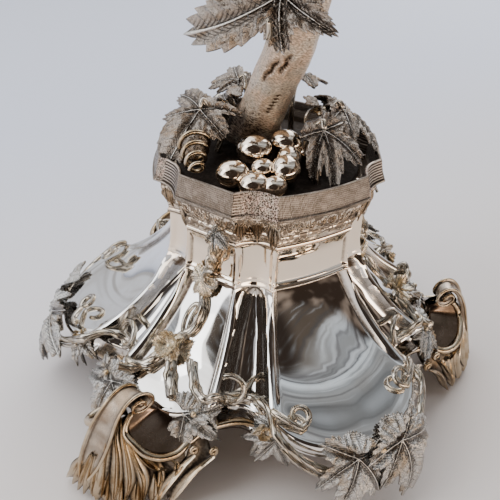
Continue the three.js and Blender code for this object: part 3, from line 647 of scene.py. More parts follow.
class Cast:
    """A mesh under construction, in millimetres about the trunk's axis, whose place in metres main() sets."""

    axis = Vector((0, 0, 0))

    def __init__(self) -> None:
        """Starts an empty mesh with a map and a patina value on each vertex."""
        self.bm = bmesh.new()
        self.patina = self.bm.verts.layers.float.new("patina")
        self.map = self.bm.loops.layers.uv.new("UVMap")

    def sheet(self, columns: int, rows: int, place: Place, shade: Shade | None = None,
            chart: Chart | None = None) -> list[bmesh.types.BMVert]:
        """Adds a grid whose points go where a function puts them.

        Args:
            columns: Faces along u.
            rows: Faces along v.
            place: Point at (u, v), each from 0 to 1.
            shade: Patina at (u, v).
            chart: Map coordinates at (u, v); u and v themselves if left out.

        Returns:
            The new vertices.
        """
        made = bmesh.ops.create_grid(self.bm, x_segments=columns, y_segments=rows, size=1)["verts"]
        seen: set[bmesh.types.BMFace] = set()
        for vert in made:
            seen.update(vert.link_faces)
        for face in seen:
            for loop in face.loops:
                u, v = (loop.vert.co.x + 1) / 2, (loop.vert.co.y + 1) / 2
                loop[self.map].uv = chart(u, v) if chart else (u, v)
        for vert in made:
            u, v = (vert.co.x + 1) / 2, (vert.co.y + 1) / 2
            vert[self.patina] = shade(u, v) if shade else 0
            vert.co = place(u, v)
        return made

    def skin(self, columns: Sequence[Sequence[tuple]], chart: Chart | None = None) -> list[bmesh.types.BMVert]:
        """Adds a sheet that closes round an axis.

        Args:
            columns: Columns in order round the axis, each of (point, patina) or (point, patina, map) stations.
            chart: Map coordinates at (u, v), where the stations hold none.

        Returns:
            The new vertices.
        """
        count, last = len(columns), len(columns[0]) - 1

        def at(u: float, v: float) -> tuple:
            """Station at (u, v)."""
            return columns[round(u * count) % count][round(v * last)]

        mapped = len(columns[0][0]) > 2
        chart = chart or (lambda u, v: at(u, v)[2] if mapped else (u, v))
        return self.sheet(count, last, lambda u, v: at(u, v)[0], lambda u, v: at(u, v)[1], chart)

    def tube(self, path: Sequence[Vector], radius: Callable[[float], float], sides: int = 10, lobes: float = 0,
            twist: float = 0, shade: float = 0, closed: bool = False) -> None:
        """Adds a round stem along a path.

        Args:
            path: Points of its centre line.
            radius: Radius at a share of the length.
            sides: Faces round it.
            lobes: Depth of three long ribs, as a share of the radius.
            twist: Turns that the ribs make over the whole length.
            shade: Patina of the furrows between the ribs.
            closed: Whether the path returns to its start.
        """
        triads = frames(path)
        last = len(path) - 1
        length = sum((b - a).length for a, b in zip(path, path[1:]))

        def place(u: float, v: float) -> Vector:
            """Point of the stem's skin."""
            i = round(v * last)
            turn = 2 * pi * u
            _, side, upright = triads[0 if closed and i == last else i]
            rib = 1 + lobes * cos(3 * turn + 2 * pi * twist * v)
            r = radius(v) * rib
            if not closed and i in (0, last):
                r = 0
            return path[i] + side * (r * cos(turn)) + upright * (r * sin(turn))

        def dark(u: float, v: float) -> float:
            """Patina of the furrows."""
            return shade * (0.5 - 0.5 * cos(6 * pi * u + 2 * pi * twist * v))

        self.sheet(sides, last, place, dark, lambda u, v: (u, v * length / 10))

    def blade(self, points: Sequence[Vector], face: Vector, width: float, rise: float, fattest: float) -> None:
        """Adds an acanthus blade: a tapering crest with thin dark edges.

        Args:
            points: Points that its crest passes.
            face: Direction that it is seen from.
            width: Half its greatest width.
            rise: Height of its crest over its edges.
            fattest: Share of its length where it is widest.
        """
        path = spline(points, 1.5)
        triads = frames(path, face)
        last = len(path) - 1
        section = ((-1, -0.2, 0.9), (-0.72, 0.12, 0.55), (-0.34, 0.3, 0.3), (-0.12, 0.86, 0), (0, 1, 0),
            (0.12, 0.86, 0), (0.34, 0.3, 0.3), (0.72, 0.12, 0.55), (1, -0.2, 0.9), (0, -0.9, 1), (-1, -0.2, 0.9))

        def size(v: float) -> float:
            """Share of the greatest width."""
            start = smooth(v, -0.25, fattest)
            return max(start * (1 - smooth(v, fattest, 1.12)), 0.02)

        def place(u: float, v: float) -> Vector:
            """Point of the blade's section."""
            i = round(v * last)
            x, h, _ = section[round(u * 10)]
            _, side, upright = triads[i]
            s = size(v)
            return path[i] + side * (x * width * s) + upright * (h * rise * (0.35 + 0.65 * s))

        self.sheet(10, last, place, lambda u, v: section[round(u * 10)][2])
        for end in (0, last):
            self.ball(path[end], (0.5, 0.5, 0.5), detail=1, shade=0.5)

    def ball(self, centre: Vector, radii: Triple, turn: Matrix | None = None, detail: int = 3,
            shade: float = 0) -> None:
        """Adds a rounded berry at a place, darker towards its underside.

        Args:
            centre: Its middle.
            radii: Its half sizes.
            turn: How it is turned.
            detail: Times that its faces are split.
            shade: How much darker its underside gets.
        """
        spot = Matrix.Translation(centre) @ (turn or Matrix.Identity(4)) @ Matrix.Diagonal((*radii, 1))
        made = bmesh.ops.create_icosphere(self.bm, subdivisions=detail, radius=1, matrix=spot)
        for vert in made["verts"]:
            vert[self.patina] = shade * smooth(centre.z - vert.co.z, -0.2 * radii[2], radii[2])

    def finish(self, name: str, look: Look, node: str, sharp: float = 48, slot: Slot = Slot.FROSTED,
            body: Body = Body.BASE) -> None:
        """Closes seams, turns faces out and hands the piece to the frame.

        Args:
            name: Name of the piece.
            look: Its finish.
            node: CAD node that it stands for.
            sharp: Edges that turn more than this many degrees stay sharp.
            slot: Record's material slot; not used.
            body: Body that it moves with.
        """
        bmesh.ops.remove_doubles(self.bm, verts=self.bm.verts, dist=0.004)
        bmesh.ops.dissolve_degenerate(self.bm, dist=0.001, edges=self.bm.edges)
        bmesh.ops.recalc_face_normals(self.bm, faces=self.bm.faces)
        bmesh.ops.transform(self.bm, matrix=Matrix.Translation(self.axis) @ Matrix.Scale(MM, 4), verts=self.bm.verts)
        mesh = bpy.data.meshes.new(name)
        self.bm.to_mesh(mesh)
        self.bm.free()
        mesh.polygons.foreach_set("use_smooth", [True] * len(mesh.polygons))
        mesh.set_sharp_from_angle(angle=radians(sharp))
        mesh.materials.append(look.value.material())
        piece = bpy.data.objects.new(name, mesh)
        bpy.context.scene.collection.objects.link(piece)
        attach(piece, body.value)
        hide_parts(node)
        LOG.info("%s: %d faces on %s", name, len(mesh.polygons), body.value)


@dataclass(frozen=True)
class BasePlan:
    """Outlines and surfaces of the base, shared by its shell, feet and vines. Sizes in millimetres."""

    deck_z: float = 160.0
    step_z: float = 110.0
    neck_r: float = 61.0
    neck_scoop: float = 5.0
    lobe_reach: float = 130.0
    lobe_tip_z: float = 51.0
    lobe_half_width: float = 47.0
    lobe_shoulder: float = 96.0
    foot_reach: float = 117.0
    foot_crest_reach: float = 108.0
    arch_depth: float = 9.0
    lobe_crest: float = 23.5
    foot_crest: float = 44.5
    sector: float = 60.0
    lobe_recess: float = 4.0
    foot_recess: float = 5.0
    flute_top_z: float = 109.4
    shaft_flare: float = 3.2
    rib_width: float = 4.6
    rib_round: float = 1.1

    @property
    def flare_gain(self) -> float:
        """How fast the skirt falls: height is one over the distance from the axis, times this."""
        return (self.step_z - self.lobe_tip_z) / (1 / self.neck_r - 1 / self.lobe_reach)

    def flare_z(self, r: float) -> float:
        """Height of the crests at a distance from the axis."""
        return self.step_z + self.flare_gain * (1 / r - 1 / self.neck_r)

    def outward(self, r: float) -> Pair:
        """Outward and upward parts of the skirt's normal at a distance from the axis."""
        slope = self.flare_gain / (r * r)
        return slope / hypot(1, slope), 1 / hypot(1, slope)

    def from_lobe(self, angle: float) -> float:
        """Degrees from the nearest lobe's middle, 0 to 60."""
        return abs((angle + self.sector) % (2 * self.sector) - self.sector)

    def shaft(self, angle: float) -> float:
        """1 on the corner shafts between a lobe's and a foot's panel, 0 on the panels."""
        a = self.from_lobe(angle)
        return smooth(a - self.lobe_crest, -0.5, 1) * (1 - smooth(a - self.foot_crest, -1, 0.5))

    def lobe_edge(self, a: float) -> float:
        """Edge of a lobe's tongue: an elliptic end, a degrees from its middle.

        Args:
            a: Degrees from the lobe's middle.

        Returns:
            Distance from the axis.
        """
        end = self.lobe_reach - self.lobe_shoulder
        c = cos(radians(a)) / end
        s = sin(radians(a)) / self.lobe_half_width
        m = self.lobe_shoulder / end
        square = c * c + s * s
        return (c * m + sqrt(c * c * m * m - square * (m * m - 1))) / square

    def edge(self, angle: float) -> float:
        """Distance from the axis to the skirt's edge.

        Args:
            angle: Plan angle.

        Returns:
            The distance.
        """
        a = self.from_lobe(angle)
        if a <= self.lobe_crest:
            return self.lobe_edge(a)
        if a <= self.foot_crest:
            t = (a - self.lobe_crest) / (self.foot_crest - self.lobe_crest)
            straight = lerp(self.lobe_edge(self.lobe_crest), self.foot_crest_reach, t)
            return straight - self.arch_depth * sin(pi * t)
        t = (a - self.foot_crest) / (self.sector - self.foot_crest)
        return lerp(self.foot_crest_reach, self.foot_reach, sin(pi / 2 * t))

    def band(self, angle: float, corner: float, lobe_half: float, foot_half: float, bow: float,
            scoop: float) -> float:
        """Radius of a three-sided outline with bowed lobe sides, flat foot sides and hollow corners.

        Args:
            angle: Plan angle.
            corner: Radius at the corners.
            lobe_half: Half a bowed side, in degrees.
            foot_half: Half a flat side, in degrees.
            bow: Rise of the bowed sides.
            scoop: Depth of the corners.

        Returns:
            The radius.
        """
        a = self.from_lobe(angle)
        if a <= lobe_half:
            return corner * cos(radians(lobe_half)) / cos(radians(a)) + bow * (1 - (a / lobe_half) ** 2)
        if a >= self.sector - foot_half:
            return corner * cos(radians(foot_half)) / cos(radians(self.sector - a))
        middle = (lobe_half + self.sector - foot_half) / 2
        half = middle - lobe_half
        chord = corner * cos(radians(half)) / cos(radians(a - middle))
        return chord - scoop * (1 - ((a - middle) / half) ** 2)

    def neck(self, angle: float, corner: float) -> float:
        """Radius of the neck's outline for a radius at its corners."""
        return self.band(angle, corner, self.lobe_crest, self.sector - self.foot_crest, 2, self.neck_scoop)

    def depth(self, angle: float, r: float, share: float) -> Pair:
        """How far the skirt lies below its crests, and its patina.

        Args:
            angle: Plan angle.
            r: Distance of the crest line from the axis.
            share: Share of the way from the neck to the skirt's edge.

        Returns:
            Depth along the normal, and patina.
        """
        a = self.from_lobe(angle)
        if a < self.lobe_crest:
            side = r * radians(self.lobe_crest - a)
            fade = 1 - smooth(share, 0.5, 0.96)
            wall = smooth(side, 0, 2) * fade
            return self.lobe_recess * wall, 0.75 * bump(side, 1.7, 1) * fade
        if a > self.foot_crest:
            side = r * radians(a - self.foot_crest)
            return self.foot_recess * smooth(side, 0, 2.4), 0.8 * bump(side, 2.2, 1.4)
        middle = (self.lobe_crest + self.foot_crest) / 2
        x = abs(r * sin(radians(a - middle)))
        half = r * sin(radians(self.foot_crest - middle))
        hollow = half - self.rib_width
        below = self.skirt_length(r) - self.skirt_length(self.flute_top_r)
        inside = hollow - (x if below > hollow else hypot(x, hollow - below))
        crown = 0.5 * self.rib_width
        facet = lerp(1.2, 0, smooth(share, 0.02, 0.3)) * (1 - (x / half) ** 2)
        if inside <= 0:
            rib = self.rib_round * (1 - min(abs(x - half + crown) / crown, 1) ** 2) if below > 0 else 0
            return facet - rib * smooth(below, 0, 10), 0.25 * bump(inside, 0, 1)
        q = clamp(inside / hollow)
        bowl = sqrt(max(1 - (1 - q) ** 2, 0))
        deep = lerp(8.5, 15, share)
        return facet + deep * bowl ** 0.85, 0.55 * bump(inside, 0.6, 1.2) + 0.35 * (below < hollow)

    @property
    def flute_top_r(self) -> float:
        """Distance from the axis to the top of the flutes' arches."""
        return 1 / (1 / self.neck_r + (self.flute_top_z - self.step_z) / self.flare_gain)

    def skirt_length(self, r: float) -> float:
        """Length down the crest line from the step to a distance from the axis, near enough."""
        return hypot(r - self.neck_r, self.step_z - self.flare_z(r))

    def surface(self, angle: float, share: float, lift: float = 0) -> tuple[Vector, float]:
        """Point over the skirt.

        Args:
            angle: Plan angle.
            share: Share of the way from the neck to the skirt's edge.
            lift: Height over the surface.

        Returns:
            The point and the patina there.
        """
        r = lerp(self.neck_r, self.edge(angle), share)
        depth, patina = self.depth(angle, r, share)
        out, up = self.outward(r)
        hug = (self.neck_r - self.neck(angle, self.neck_r)) * (1 - smooth(share, 0, 0.4))
        hug -= self.shaft_flare * self.shaft(angle) * (1 - smooth(share, 0, 0.3))
        off = lift - depth
        return polar(angle, r + out * off - hug, self.flare_z(r) + up * off), patina

    def on_skirt(self, angle: float, r: float, lift: float) -> Vector:
        """Point over the skirt at a distance from the axis, and a height over the surface."""
        share = clamp((r - self.neck_r) / (self.edge(angle) - self.neck_r))
        return self.surface(angle, share, lift)[0] + polar(angle, max(r - self.edge(angle), 0), 0)

    def beside_rim(self, angle: float, drop: float, off: float = 6.7) -> Vector:
        """Point beside a lobe's rolled rim, square to its outline, at a drop below its top.

        Args:
            angle: Plan angle.
            drop: Drop below the rim's top.
            off: Distance from the edge.

        Returns:
            The point.
        """
        ahead, behind = (polar(angle + d, self.edge(angle + d), 0) for d in (0.5, -0.5))
        along = (ahead - behind).normalized()
        spot = polar(angle, self.edge(angle), 0) + Vector((along.y, -along.x, 0)) * off
        spot.z = self.surface(angle, 1)[0].z - drop
        return spot


@dataclass
class Shell:
    """The raised silver body: deck, neck, stepped moulding, fluted skirt and rolled apron."""

    plan: BasePlan
    columns: int = 720
    wall: float = 3.0
    deck: float = 4.0
    hub_r: float = 22.0
    rod: Vector = Vector((-1.5, 13, 0))
    rod_hole: float = 4.35
    neck_stops: tuple[Triple, ...] = ((160, 66.9, 0), (159.6, 67.6, 0), (158.9, 67.9, 0), (158.1, 67.7, 0.1),
        (157.4, 67.1, 0.6), (156.6, 66.9, 0.4), (154.6, 66.5, 0.3), (152, 65.8, 0.3), (149.2, 64.8, 0.35),
        (147.2, 64.1, 0.3), (146.6, 64.5, 0.1), (145.8, 64.5, 0.2), (145.2, 63.8, 0.6), (143, 63, 0.35),
        (141.2, 62.6, 0.4), (140, 62.3, 0.7), (139.3, 62.8, 0.1), (138.5, 62.9, 0.1), (137.8, 62.4, 0.5),
        (137.3, 61.8, 0.8), (136.4, 61.5, 0.4), (135, 61.4, 0.1), (131, 61.3, 0), (126, 61.3, 0), (120, 61.4, 0),
        (116, 61.5, 0.05), (114.2, 61.7, 0.3), (113.7, 62.3, 0.1), (113, 62.6, 0), (112.3, 62.3, 0.2),
        (112, 61.7, 0.7), (111.6, 61.8, 0.6), (111.1, 62.5, 0.1), (110.4, 62.7, 0), (109.8, 62.4, 0.3),
        (109.5, 61.9, 0.7))
    lobe_roll: tuple[Pair, ...] = ((0.6, 0.02), (1.5, 0.1), (2.1, 0.24), (2.3, 0.4), (2.1, 0.55), (1.4, 0.68),
        (0.5, 0.74), (0.2, 0.8), (0.6, 0.86), (0.6, 0.93), (-0.2, 0.99), (-1.3, 1))
    arch_roll: tuple[Pair, ...] = ((0.6, 0.01), (1.7, 0.04), (2.1, 0.08), (1.5, 0.12), (-0.8, 0.16), (-3, 0.26),
        (-3.4, 0.42), (-1.2, 0.58), (2.4, 0.67), (3.8, 0.74), (2.8, 0.82), (0.8, 1))
    foot_roll: tuple[Pair, ...] = ((0.3, 0.03), (0.9, 0.12), (1.4, 0.26), (1.6, 0.4), (1.4, 0.52), (1, 0.64),
        (0.6, 0.74), (0.2, 0.84), (0, 0.92), (-0.4, 0.97), (-0.8, 1), (-1.3, 1))
    arch_patina: tuple[float, ...] = (0, 0, 0.1, 0.5, 0.75, 0.45, 0.4, 0.5, 0.5, 0, 0.1, 0.6)

    def shares(self) -> list[float]:
        """Places down the skirt, close together where the flutes begin."""
        top = [0.0085 * k for k in range(1, 27)]
        return top + [lerp(top[-1], 1, k / 34) for k in range(1, 35)]

    def on_neck(self, angle: float, z: float, r: float, dark: float) -> tuple[Vector, float]:
        """Point of the neck: the step stays between the corner shafts, whose ribs run up to the ogee.

        Args:
            angle: Plan angle.
            z: Height.
            r: Radius at the corners.
            dark: Patina of the moulding.

        Returns:
            The point and its patina.
        """
        plan = self.plan
        a = plan.from_lobe(angle)
        shaft = plan.shaft(angle)
        low = 1 - smooth(z, 112, 117)
        r = lerp(r, 61, shaft * low) + plan.shaft_flare * shaft * clamp((124 - z) / 14) ** 2
        side = r * radians(plan.lobe_crest - a)
        inner = r * radians(a - plan.foot_crest)
        under = 1 - smooth(z, 131, 136)
        panel = max(smooth(side, 0.2, 2.2), smooth(inner, 0.2, 2.2)) * smooth(z, 110, 116) * under
        crest = max(bump(side, -1.2, 1.3), bump(inner, -1.2, 1.3)) * (1 - smooth(z, 133, 137))
        grey = 0.6 * max(bump(side, 1.4, 0.8), bump(inner, 1.4, 0.8)) * under
        return polar(angle, plan.neck(angle, r) - 1.7 * panel + 0.9 * crest, z), max(dark * (1 - shaft * low), grey)

    def roll(self, angle: float, k: int) -> tuple[Vector, float]:
        """Point k of the rolled edge and its patina.

        Args:
            angle: Plan angle.
            k: Its place along the roll.

        Returns:
            The point and its patina.
        """
        plan = self.plan
        a = plan.from_lobe(angle)
        to_arch = smooth(a, plan.lobe_crest - 1.2, plan.lobe_crest + 1.2)
        to_foot = smooth(a, plan.foot_crest - 1.2, plan.foot_crest + 1.2)
        lobe, arch, foot = self.lobe_roll[k], self.arch_roll[k], self.foot_roll[k]
        out = lerp(lerp(lobe[0], arch[0], to_arch), foot[0], to_foot)
        drop = lerp(lerp(11 * lobe[1], 21 * arch[1], to_arch), 7 * foot[1], to_foot)
        spot, _ = plan.surface(angle, 1)
        rim = hypot(spot.x, spot.y)
        patina = self.arch_patina[k] * to_arch * (1 - to_foot) + 0.5 * (k > 9)
        return polar(angle, rim + out, spot.z - drop), patina

    def profile(self, angle: float) -> list[tuple[Vector, float]]:
        """Whole section of the shell at a plan angle, out over the deck and back underneath.

        Args:
            angle: Plan angle.

        Returns:
            Points and their patina.
        """
        plan = self.plan
        low = plan.deck_z - self.deck
        outline: list[tuple[Vector, float]] = [(self.rod + polar(angle, self.rod_hole, plan.deck_z), 0.6),
            (polar(angle, self.hub_r, plan.deck_z), 0.6)]
        outline += [self.on_neck(angle, *stop) for stop in self.neck_stops]
        outline += [plan.surface(angle, s) for s in self.shares()]
        outline += [self.roll(angle, k) for k in range(len(self.lobe_roll))]
        tip = outline[-1][0]
        outline.append((polar(angle, hypot(tip.x, tip.y) - self.wall, tip.z), 0.9))
        outline += [(plan.surface(angle, s, -self.wall)[0], 0.85) for s in (0.9, 0.72, 0.55, 0.38, 0.2, 0.1)]
        inner = plan.neck(angle, plan.neck_r) - self.wall
        outline += [(polar(angle, inner, z), 0.85) for z in (108, 130, low)]
        outline += [(polar(angle, self.hub_r, low), 0.85), (self.rod + polar(angle, self.rod_hole, low), 0.85),
            outline[0]]
        return outline

    def build(self) -> None:
        """Builds the shell with its three studs."""
        cast = Cast()
        chased = cast.bm.verts.layers.float.new("chased")
        for vert in cast.skin([self.profile(360 * i / self.columns) for i in range(self.columns)]):
            outer = hypot(vert.co.x, vert.co.y) > 60
            vert[chased] = outer * smooth(vert.co.z, 140.2, 141.4) * (1 - smooth(vert.co.z, 157.2, 158.2))
        for foot in FEET.values():
            cast.tube([polar(foot, 105, z) for z in (29, 29.6, 36, 44, 50, 54)], lambda v: 3 - 0.4 * (v < 0.05), 20)
        cast.finish("shell", Look.POLISHED, "base_shell", 38, slot=Slot.POLISHED)


@dataclass
class PlinthBand:
    """The engraved band on the deck's edge."""

    plan: BasePlan
    columns: int = 720
    corner: float = 68.2
    flare: float = 3.7
    thick: float = 4.5
    height: float = 14.6
    lobe_half: float = 25.0
    foot_half: float = 15.0
    bow: float = 3.4
    scoop: float = 3.8
    face: tuple[Triple, ...] = ((1, -0.8, 0), (0.99, -0.3, 0), (0.97, 0, 0), (0.95, 0.02, 0.2), (0.93, 0.04, 0.1),
        (0.7, 0.2, 0.05), (0.5, 0.36, 0.05), (0.32, 0.52, 0.1), (0.2, 0.66, 0.15), (0.16, 0.66, 0.5),
        (0.13, 0.9, 0.1), (0.07, 1, 0), (0.02, 0.9, 0.2), (0, 0.6, 0.6))

    def section(self, angle: float) -> list[tuple[Vector, float]]:
        """Closed section at a plan angle.

        Args:
            angle: Plan angle.

        Returns:
            Its points, from the inner wall over the top rim and down the face, with their patina.
        """
        shape = (self.lobe_half, self.foot_half, self.bow, self.scoop)
        top, low = (self.plan.band(angle, r, *shape) for r in (self.corner, self.corner + self.flare))
        inner = top - self.thick
        foot = self.plan.deck_z + SOLDER_GAP
        rows = [(inner, foot, 0.95), (inner, foot + 5, 0.95), (top - 2, foot + 9, 0.9),
            (top - 1.5, foot + self.height - 0.3, 0.4)]
        rows += [(lerp(top, low, lean) if lean >= 0 else top + lean, foot + self.height * share, dark)
            for share, lean, dark in self.face]
        return [(polar(angle, r, z), dark) for r, z, dark in (*rows, rows[0])]

    def build(self) -> None:
        """Builds the band: inner wall, thin top rim and engraved face."""
        plan = self.plan
        foot = plan.deck_z + SOLDER_GAP
        cast = Cast()
        hollow = cast.bm.verts.layers.float.new("scoop")
        sections = [self.section(360 * i / self.columns) for i in range(self.columns)]
        rows = len(sections[0]) - 1

        def chart(u: float, v: float) -> Pair:
            """Length round the band over 10, and share of its height."""
            return 2 * pi * u * self.corner / 10, (sections[0][round(v * rows)][0].z - foot) / self.height

        for vert in cast.skin(sections, chart):
            a = plan.from_lobe(degrees(atan2(vert.co.x, -vert.co.y)))
            vert[hollow] = float(self.lobe_half < a < plan.sector - self.foot_half)
        cast.finish("engraved_band", Look.BAND, "plinth_band", 24, slot=Slot.ENGRAVED)


@dataclass
class Mound:
    """The dark rough ground inside the band."""

    plan: BasePlan
    radius: float = 55.0
    edge: float = 4.5
    rise: float = 6.0

    def height(self, r: float) -> float:
        """Height of the ground at a distance from the axis."""
        return self.plan.deck_z + SOLDER_GAP + self.edge + self.rise * cos(pi / 2 * min(r / self.radius, 1))

    def build(self) -> None:
        """Builds the ground as a closed dome with rough soil."""
        cast = Cast()
        foot = self.plan.deck_z + SOLDER_GAP

        def place(u: float, v: float) -> Vector:
            """Point of the ground, its edge or its underside."""
            k = round(v * 29)
            if k <= 26:
                r = self.radius * k / 26
                spot = polar(360 * u, r, self.height(r))
                return spot + Vector((0, 0, 0.9 * grain(spot, 4, 2) * (k < 25)))
            if k == 27:
                return polar(360 * u, self.radius, foot)
            return polar(360 * u, self.radius * (0.5 if k == 28 else 0), foot)

        cast.sheet(120, 29, place, lambda u, v: 0.7)
        cast.finish("mound_ground", Look.DARK, "mound")


VINE_LOBES = ((0, 1, 47), (53, 0.83, 44), (-53, 0.83, 44), (108, 0.64, 48), (-108, 0.64, 48))
SIDE_LOBES = ((0, 1, 60), (56, 0.7, 56), (-60, 0.74, 56), (124, 0.7, 58), (-128, 0.72, 56))
TRUNK_LOBES = ((0, 1, 42), (50, 0.74, 44), (-52, 0.58, 50), (104, 0.6, 50), (-104, 0.72, 54))
FORKED_LOBES = ((0, 1, 42), (47, 1, 42), (-44, 0.84, 42), (98, 0.5, 46), (-98, 0.5, 44))
GARLAND_LOBES = ((0, 1, 50), (60, 0.88, 46), (-60, 0.9, 46), (122, 0.66, 48), (-122, 0.64, 48))
ROSETTE_LOBES = ((0, 1, 150), (90, 0.92, 150), (180, 1, 150), (-90, 0.92, 150))


def stand(spot: Vector, tip: Vector, face: Vector) -> Matrix:
    """Frame of a leaf with its vein junction at a spot, its tip and its face pointing as given.

    Args:
        spot: Its vein junction.
        tip: Where its tip points.
        face: Where its face points.

    Returns:
        The frame.
    """
    ahead = tip.normalized()
    up = (face - ahead * face.dot(ahead)).normalized()
    turn = Matrix((ahead.cross(up), ahead, up)).transposed().to_4x4()
    return Matrix.Translation(spot) @ turn


def lean_at(angle: float, spot: Vector, lean: float, heading: float) -> Matrix:
    """Frame of a leaf about a line through the axis.

    Args:
        angle: Plan angle that the leaf faces.
        spot: Place of its vein junction.
        lean: Turns its face from outward (0) to upward (90).
        heading: Turns its tip from falling (0) towards rising plan angles (90).

    Returns:
        The frame.
    """
    outward, around = polar(angle, 1, 0), polar(angle + 90, 1, 0)
    tilt, turn = radians(lean), radians(heading)
    face = outward * cos(tilt) + UP * sin(tilt)
    fall = outward * sin(tilt) - UP * cos(tilt)
    return stand(spot, fall * cos(turn) + around * sin(turn), face)


@dataclass(frozen=True)
class VineLeaf:
    """A serrated vine leaf with raised veins, puffed blades and a rolled edge."""

    length: float
    width: float = 1.1
    curl: float = 0.3
    wave: float = 0.05
    seed: float = 0.0
    lobes: tuple[Triple, ...] = VINE_LOBES
    tooth: float = 8.5
    thick: float = 1.1
    columns: int = 192
    rows: int = 11
    point: float = 1.7
    bend: float = 16.0
    web: float = 0.4

    def rim(self, turn: float) -> Pair:
        """Reach in one direction as a share of the length, and the offset from the nearest main vein.

        Args:
            turn: Direction from the tip in degrees.

        Returns:
            Reach, and offset in degrees.
        """
        reach, nearest = self.web, 180
        for heading, share, spread in self.lobes:
            off = (turn - heading + 180) % 360 - 180
            if abs(off) < abs(nearest):
                nearest = off
            if abs(off) < spread:
                reach = max(reach, share * (1 - (abs(off) / spread) ** self.point))
        tooth = abs(2 * ((abs(nearest) / self.tooth) % 1) - 1)
        lively = 1 + 0.06 * sin(radians(turn) * 2 + self.seed)
        return reach * lively * (1 + 0.12 * (tooth - 0.5)), nearest

    def blade(self, turn: float, reach: float, off: float, share: float) -> tuple[Vector, float, Pair]:
        """Point of the leaf's face, its patina and its map place.

        Args:
            turn: Direction from the tip in degrees.
            reach: Distance to the rim as a share of the length.
            off: Degrees from the nearest main vein.
            share: Share of the way to the rim.

        Returns:
            Local point, patina and (along, across) in leaf lengths.
        """
        long = self.length
        r = share * reach
        across = r * sin(radians(min(abs(off), 90)))
        along = r * cos(radians(off))
        vein = bump(across, 0, 0.016) * (1 - 0.5 * share)
        valley = bump(across, 0.045, 0.03)
        puff = smooth(across, 0.02, 0.12) * (1 - smooth(across, 0.2, 0.42)) * smooth(share, 0.08, 0.4)
        pleat = -cos(14 * pi * (along - 0.85 * across)) * smooth(across, 0.04, 0.1)
        rise = 0.02 * vein - 0.02 * valley + 0.075 * puff * (1 - 0.4 * share)
        rise += 0.024 * pleat * (1 - smooth(share, 0.85, 1))
        rise += self.wave * share ** 2 * sin(3 * radians(turn) + self.seed)
        rise -= self.curl * r * r
        rise += 0.03 * noise.noise(Vector((2.6 * r * sin(radians(turn)), 2.6 * along, self.seed)))
        patina = 0.4 * bump(r, 0, 0.08) + 0.24 * valley * (1 - 0.5 * share)
        patina += 0.3 * (1 - puff) * (1 - vein) * smooth(share, 0.1, 0.3)
        way = radians(turn + self.bend * r * sin(radians(2 * turn) + self.seed))
        spot = Vector((r * sin(way) * self.width, r * cos(way), rise))
        return spot * long, patina, (along, across)

    def add(self, cast: Cast, place: Matrix) -> None:
        """Adds the leaf to a cast, its vein junction at the origin of a frame.

        Args:
            cast: Mesh that takes it.
            place: Its frame.
        """
        rims = [self.rim(360 * i / self.columns) for i in range(self.columns)]
        back = ((0.985, 1), (0.6, 1), (0, 1))
        steps = [((k / self.rows) ** 0.9, 0) for k in range(self.rows + 1)] + list(back)
        columns = []
        for i, (reach, off) in enumerate(rims):
            column = []
            for share, under in steps:
                spot, dark, chart = self.blade(360 * i / self.columns, reach, off, share)
                spot.z -= under * self.thick * (0.55 + 0.45 * share)
                column.append((place @ spot, dark + 0.3 * under, chart))
            columns.append(column)
        cast.skin(columns)


@dataclass(frozen=True)
class Stem:
    """A vine stem: ribbed, twisted, knotted and tapering."""

    radius: float = 2.3
    end: float = 2.0
    sides: int = 14
    rib: float = 0.13
    pitch: float = 26.0
    knots: tuple[float, ...] = ()
    step: float = 1.3

    def add(self, cast: Cast, points: Sequence[Vector]) -> None:
        """Adds the stem.

        Args:
            cast: Mesh that takes it.
            points: Points that it passes.
        """
        path = spline(points, self.step)
        length = self.step * len(path)

        def radius(v: float) -> float:
            """Radius with the swelling of the knots."""
            swell = sum(bump(v * length, knot * length, 2.4) for knot in self.knots)
            return lerp(self.radius, self.end, v) * (1 + 0.32 * swell) * (1 - 0.25 * smooth(abs(2 * v - 1), 0.97, 1))

        cast.tube(path, radius, self.sides, self.rib, length / self.pitch, 0.4)


def curl(centre: Vector, first: Vector, face: Vector, radius: float, end: float, turns: float,
        rise: float = 0) -> list[Vector]:
    """Points of a tendril's curl.

    Args:
        centre: Middle of the curl.
        first: Direction from the middle to the first point.
        face: Direction that the curl is seen from.
        radius: Distance of the first point from the middle.
        end: Distance of the last point.
        turns: How far it winds, against the clock if negative.
        rise: How far the last point stands out along the face.

    Returns:
        The points in order.
    """
    normal = face.normalized()
    ahead = (first - normal * first.dot(normal)).normalized()
    side = normal.cross(ahead)
    count = max(round(abs(turns) * 18), 6)
    points = []
    for i in range(count + 1):
        share = i / count
        turn = 2 * pi * turns * share
        reach = lerp(radius, end, share)
        points.append(centre + (ahead * cos(turn) + side * sin(turn)) * reach + normal * (rise * share))
    return points


